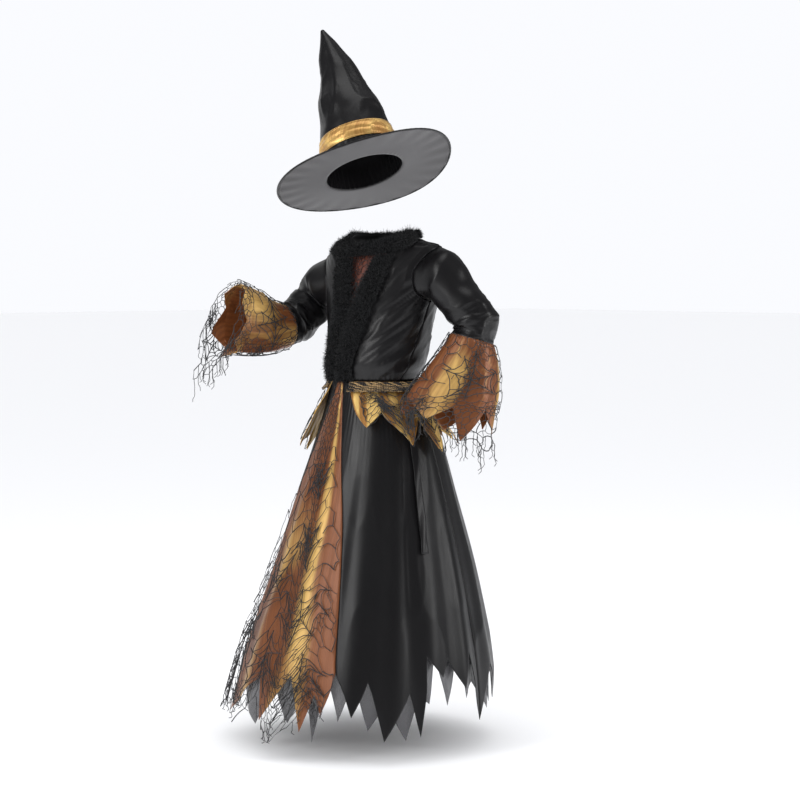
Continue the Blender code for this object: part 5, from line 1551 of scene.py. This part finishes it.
def cuff_nets(side, cut, tails, hangs, seed):
    """Make the web net round a cuff in two halves, longer than it, with ragged tails."""
    around, length = 0.400, 0.150
    lacy = [
        ([(0.07, 0.0), (0.095, 0.08), (0.075, 0.28)], 0.010),
        ([(0.27, 0.0), (0.245, 0.10), (0.27, 0.28)], 0.010),
        ([(0.0, 0.145), (0.1, 0.160), (0.2, 0.140), (0.3, 0.165), (0.4, 0.145)], 0.009),
    ]
    hubs = [(0.085, 0.080, 0.056), (0.195, 0.085, 0.050), (0.305, 0.070, 0.056), (0.150, 0.175, 0.038)]
    lines, thick = web((around, length + 0.13), lacy, hubs, 0.037, 0.0082, seed, closed=True)
    share, down = lines[..., 0] / around, lines[..., 1]
    tail = np.maximum(np.interp(share % 1, [row[0] for row in tails], [row[1] for row in tails]), 0.012)
    ragged = tail * (0.55 + 0.45 * drift(share * 26, 0.0, seed, around=26))
    keep = (down - length < ragged).all(axis=1)
    share, down, tail, thick = (values[keep] for values in (share, down, tail, thick))
    t = np.clip(down / length, 0, 1)
    relief = cuff_relief(share % 1, t, seed)
    grow = NET_LIFT + 0.0032 * t + 0.0010
    reach = np.maximum(down - length, 0.0)
    hang = np.interp(reach / tail, (0, 0.45, 1), (0.0, *hangs))
    over, past = cuff_point(cut, share, t, grow), cuff_end(cut, share, reach, grow, hang)
    paths = np.where((down < length)[..., None], over, past)
    normals = unit(cuff_point(cut, share, t, 0.01) - cuff_point(cut, share, t, 0.0))
    paths = paths + normals * relief[..., None]
    pieces = []
    middle = share[:, 1:3].mean(axis=1) % 1
    for half, chosen in (("outer", middle < 0.5), ("inner", middle >= 0.5)):
        node = f"cuff_net_{side}_{half}"
        piece = tubes(f"{node}_web", paths[chosen], normals[chosen], THREAD * thick[chosen], NET)
        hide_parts(node)
        pieces.append(piece)
    hanging, ways = loose_tails(paths, reach[:, 1] / tail[:, 1] > 0.42, 60, 0.055, seed + 1)
    pieces.append(tubes(f"cuff_net_{side}_tails", hanging, ways, THREAD * 0.62, NET))
    return pieces


def hat_place():
    """Return the hat's own frame: its middle, and its three directions as columns."""
    up = unit(HAT_UP)
    aside = unit(np.cross(up, (0, 0, 1.0)))
    return np.array(HAT_MIDDLE), np.stack([np.cross(aside, up), aside, up], axis=0)


def in_hat(points):
    """Move points from the hat's own frame to their place."""
    middle, directions = hat_place()
    return middle + points @ directions


def hat_point(angle, height, grow):
    """Return points of the hat's cone in the hat's own frame, with its soft creases."""
    angle, height = np.broadcast_arrays(np.asarray(angle, float), np.asarray(height, float))
    radius = smooth_at(HAT_PROFILE, HAT_COLUMNS, height, "radius")
    lean = smooth_at(HAT_PROFILE, HAT_COLUMNS, height, "lean")
    calm = ramp(height, 0.09, 0.15) * (1 - ramp(height, 0.27, 0.34))
    crease = HAT_CREASE * calm * np.sin(3 * angle + 26 * height) * np.cos(2 * angle - 31 * height)
    size = radius + crease + grow
    return np.stack([size * np.cos(angle) + lean, size * np.sin(angle), height], axis=-1)


def hat_crown():
    """Make the cone: creased above the band, gathered below it, and closed at its tip."""
    angle = 2 * np.pi * np.arange(HAT_SIDES)[:, None] / HAT_SIDES
    low, tip = HAT_PROFILE[0][0], HAT_PROFILE[-1][0]
    height = np.append(np.linspace(low, tip, 100), tip + 0.002)[None]
    share = angle / (2 * np.pi)
    slanted = creased(5 * share, height / 0.10, 101, around=5) - 0.3
    fine = creased(9 * share, height / 0.055, 103, around=9) - 0.3
    slim = smooth_at(HAT_PROFILE, HAT_COLUMNS, height, "radius") / 0.08
    calm = ramp(height, 0.085, 0.125) * (1 - ramp(height, 0.30, 0.345))
    wobble = 3 * drift(20 * share, height / 0.05, 4, around=20)
    gathers = 0.0016 * np.sin(46 * angle + wobble) * (1 - ramp(height, 0.040, 0.052))
    grow = (0.0062 * slanted + 0.0030 * fine) * calm * slim + gathers - SATIN
    points = hat_point(angle, height, grow)
    middle = points[:, -1].mean(axis=0)
    points[:, -1] = middle + (points[:, -1] - middle) * 0.08
    piece = cloth(
        "hat_crown_cloth", in_hat(points), BLACK, in_hat(np.array([0, 0, 0.1])), "hat_crown",
        wrap=True, seams=("top",),
    )


def hat_band():
    """Make the folded gold band."""
    angle = 2 * np.pi * np.arange(BAND_SIDES)[:, None] / BAND_SIDES
    t = np.linspace(0, 1, 26)[None]
    height = BAND_LOW + (BAND_HIGH - BAND_LOW) * t
    share = angle / (2 * np.pi)
    pleat = np.abs(np.sin(np.pi * (2.6 * t + 0.35 * np.sin(2 * angle))))
    crumple = creased(11 * share, 2.2 * t, 111, around=11)
    grow = 0.0006 + 0.0022 * pleat * np.sin(np.pi * (0.08 + 0.84 * t)) + 0.0030 * crumple * np.sin(np.pi * t)
    # Painted highlight on the crumpled folds and in patches.
    crest_highlight = 0.25 + 0.55 * crumple + 0.35 * drift(14 * share, 2.5 * t, 113, around=14)
    points = in_hat(hat_point(angle, np.broadcast_to(height, grow.shape), grow))
    piece = cloth(
        "hat_band_cloth", points, GOLD, in_hat(np.array([0, 0, 0.07])), "hat_band",
        thickness=0.0008, wrap=True, crest_highlight=crest_highlight,
    )


def brim_wave(angle, radius):
    """Return how far the brim waves up."""
    share = np.maximum((radius - 0.09) / (BRIM_RADIUS - 0.09), 0.0)
    return BRIM_WAVE * share * (np.sin(2 * angle + 0.6) + 0.5 * np.sin(3 * angle))


def hat_brim():
    """Make the sheer brim."""
    angle = 2 * np.pi * np.arange(BRIM_SIDES)[:, None] / BRIM_SIDES
    radius = np.linspace(BRIM_OPENING, BRIM_RADIUS, 34)[None]
    wave = brim_wave(angle, radius) + 0.0006 * np.sin(24 * angle) * ramp(radius, 0.12, 0.19)
    points = np.stack([radius * np.cos(angle), radius * np.sin(angle), wave], axis=-1)
    inside = in_hat(np.array([0, 0, 5.0]))
    piece = cloth(
        "hat_brim_cloth", in_hat(points), BRIM_SHEER, inside, "hat_brim",
        thickness=SHEER, wrap=True, seams=("top",),
    )
    brim_binding()


def brim_binding():
    """Make the bound wire at the brim's edge."""
    angle = np.linspace(0, 2 * np.pi, EDGE_STEPS + 1)[:, None]
    section = 2 * np.pi * np.linspace(0, 1, EDGE_SIDES, endpoint=False)[None]
    reach = EDGE_RADIUS * (1 + 0.05 * np.sin(90 * angle))
    out = BRIM_RADIUS + EDGE_RADIUS * 0.8 + reach * np.cos(section)
    up = brim_wave(angle, BRIM_RADIUS) + reach * np.sin(section)
    ring = np.stack([out * np.cos(angle), out * np.sin(angle), up], axis=-1)[:-1]
    index = np.arange(EDGE_STEPS * EDGE_SIDES).reshape(EDGE_STEPS, EDGE_SIDES)
    index = np.pad(index, ((0, 1), (0, 1)), mode="wrap")
    faces = [index[:-1, :-1], index[1:, :-1], index[1:, 1:], index[:-1, 1:]]
    faces = np.stack(faces, axis=-1).reshape(-1, 4)
    step, side = faces // EDGE_SIDES, faces % EDGE_SIDES
    maps = np.stack([BRIM_RADIUS * angle[step, 0], EDGE_RADIUS * section[0, side]], axis=-1)
    points = in_hat(ring.reshape(-1, 3))
    masks = {"crest_highlight": np.zeros(len(points))}
    edge = make_piece("hat_brim_binding", points, faces, BLACK, maps, masks)
    steady_faces(edge)
    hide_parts("hat_brim_edge")
    return edge


def stitches(name, path, normals, length=0.0026, gap=0.0038):
    """Make a row of stitches along a path, each a short thread that dips into the cloth at its ends."""
    steps = np.concatenate([[0], np.cumsum(np.linalg.norm(np.diff(path, axis=0), axis=1))])
    starts = np.arange(0.001, steps[-1] - length, gap)
    at = starts[:, None] + np.linspace(0, length, 4)[None]
    places = np.stack([np.interp(at, steps, path[:, k]) for k in range(3)], axis=-1)
    ways = unit(np.stack([np.interp(at, steps, normals[:, k]) for k in range(3)], axis=-1))
    lift = np.array([-0.0003, 0.0003, 0.0003, -0.0003])[None, :, None]
    tubes(name, places + ways * lift, ways, STITCH_RADIUS, STITCH)


def seam_stitches():
    """Make the rows of stitches that show on the armholes, the skirt's seams, the hat's band and its brim."""
    for name, side in (("armhole_left_stitches", 1), ("armhole_right_stitches", -1)):
        places = armhole_place(np.linspace(0, 1, 120), side)
        centre = places.mean(axis=0)
        places = centre + (places - centre) * 1.05
        theta, z = places[:, 0], places[:, 1]
        path = on_body(theta, z, CLOTH_BASE + bodice_creases(theta, z))
        stitches(name, path, body_normal(theta, z))
    for seam in (GORE_RIGHT_SEAM, GORE_LEFT_SEAM, SIDE_SEAM, BACK_SEAM):
        z = np.linspace(WAIST_Z - 0.03, -0.86, 240)
        for hand in (-1, 1):
            theta = gore_angle(np.full(z.shape, float(seam)), z)
            theta = theta + hand * np.degrees(0.0035 / smooth_at(BODY, BODY_COLUMNS, z, "half_width"))
            path = on_body(theta, z, CLOTH_BASE - 0.0001 + skirt_relief(theta, z))
            name = f"skirt_seam_{seam % 360}_{'left' if hand > 0 else 'right'}_stitches"
            stitches(name, path, body_normal(theta, z), gap=0.0042)
    angle = np.linspace(0, 2 * np.pi, 400)
    rows = [("hat_band_low_stitches", BAND_LOW + 0.0022), ("hat_band_high_stitches", BAND_HIGH - 0.0022)]
    for name, height in rows:
        path = in_hat(hat_point(angle, height, 0.0026))
        stitches(name, path, unit(path - in_hat(np.array([0, 0, height]))))
    radius = np.full(len(angle), BRIM_RADIUS - 0.0040)
    ring = np.stack([radius * np.cos(angle), radius * np.sin(angle), brim_wave(angle, radius)], axis=-1)
    ways = np.broadcast_to(unit(HAT_UP), ring.shape)
    stitches("hat_brim_stitches", in_hat(ring) + ways * 0.0007, ways)


def dress():
    """Make every piece of the dress, its nets first."""
    insert_web, gore_webs = insert_net(), gore_net()
    peplum_webs = {
        "peplum_left": peplum_net("peplum_net_left", 32, 127, 5),
        "peplum_right": peplum_net("peplum_net_right", 244, 338, 6),
    }
    bodice()
    chest_insert()
    front_fur(1, "fur_front_left")
    front_fur(-1, "fur_front_right")
    collar_fur()
    skirt()
    underlayer()
    peplum()
    waist_lace()
    tie_ribbon()
    sleeve("sleeve_left", 1, SLEEVE_LEFT, SEAM_WAY_LEFT)
    sleeve("sleeve_right", -1, SLEEVE_RIGHT, SEAM_WAY_RIGHT)
    left = (CUFF_LEFT, SEAM_WAY_LEFT, CUFF_MOUTH_LEFT, CUFF_LONG_LEFT)
    right = (CUFF_RIGHT, SEAM_WAY_RIGHT, CUFF_MOUTH_RIGHT, CUFF_LONG_RIGHT)
    cuff("left", left, TEETH_LEFT, TAILS_LEFT, NET_HANG_LEFT, 130)
    cuff("right", right, TEETH_RIGHT, TAILS_RIGHT, NET_HANG_RIGHT, 150)


def hat():
    """Make every piece of the hat."""
    hat_crown()
    hat_band()
    hat_brim()


def aimed(thing, place, aim):
    """Put a thing at a place and turn it towards another."""
    thing.location = place
    thing.rotation_euler = (Vector(aim) - Vector(place)).to_track_quat("-Z", "Y").to_euler()


def soft_light(name, place, aim, size, power):
    """Add a soft rectangular light."""
    lamp = bpy.data.lights.new(name, "AREA")
    lamp.shape = "RECTANGLE"
    lamp.size, lamp.size_y = size
    lamp.energy = power
    thing = bpy.data.objects.new(name, lamp)
    bpy.context.scene.collection.objects.link(thing)
    aimed(thing, place, aim)


def studio():
    """Add the floor, the lights and the camera."""
    mesh = bpy.data.meshes.new("pale_floor")
    corners = [(x * FLOOR_REACH, y * FLOOR_REACH, FLOOR_Z) for x, y in ((-1, -1), (1, -1), (1, 1), (-1, 1))]
    mesh.from_pydata(corners, [], [(0, 1, 2, 3)])
    paint = {"Base Color": (0.86, 0.86, 0.86, 1), "Roughness": 0.7, "Specular IOR Level": 0.15}
    mesh.materials.append(start_look("pale_floor_paint", paint)[0])
    floor = bpy.data.objects.new("pale_floor", mesh)
    bpy.context.scene.collection.objects.link(floor)
    world = bpy.data.worlds.new("studio_air")
    world.use_nodes = True
    air = world.node_tree
    rays = air.nodes.new("ShaderNodeLightPath")
    bright = math_node(air, "MULTIPLY_ADD", rays.outputs["Is Diffuse Ray"], AIR_DULL - AIR_GLOSS, AIR_GLOSS)
    strength = math_node(air, "MULTIPLY_ADD", rays.outputs["Is Camera Ray"], AIR_SEEN - AIR_GLOSS, bright)
    air.links.new(strength, air.nodes["Background"].inputs["Strength"])
    air.nodes["Background"].inputs["Color"].default_value = (0.96, 0.97, 1.0, 1)
    bpy.context.scene.world = world
    bpy.context.scene.view_settings.view_transform = "Standard"
    for name, ahead, aside, up, size, power in LIGHTS:
        place = LIGHT_AIM + ahead * TOWARDS_CAMERA + aside * TO_THE_RIGHT + up * np.array([0, 0, 1.0])
        soft_light(name, place, LIGHT_AIM, size, power)
    lens = bpy.data.cameras.new("studio_camera")
    lens.lens = CAMERA_LENS
    lens.sensor_width = 36.0
    camera = bpy.data.objects.new("studio_camera", lens)
    bpy.context.scene.collection.objects.link(camera)
    aimed(camera, CAMERA_PLACE, CAMERA_AIM)
    bpy.context.scene.camera = camera


dress()
hat()
seam_stitches()
studio()
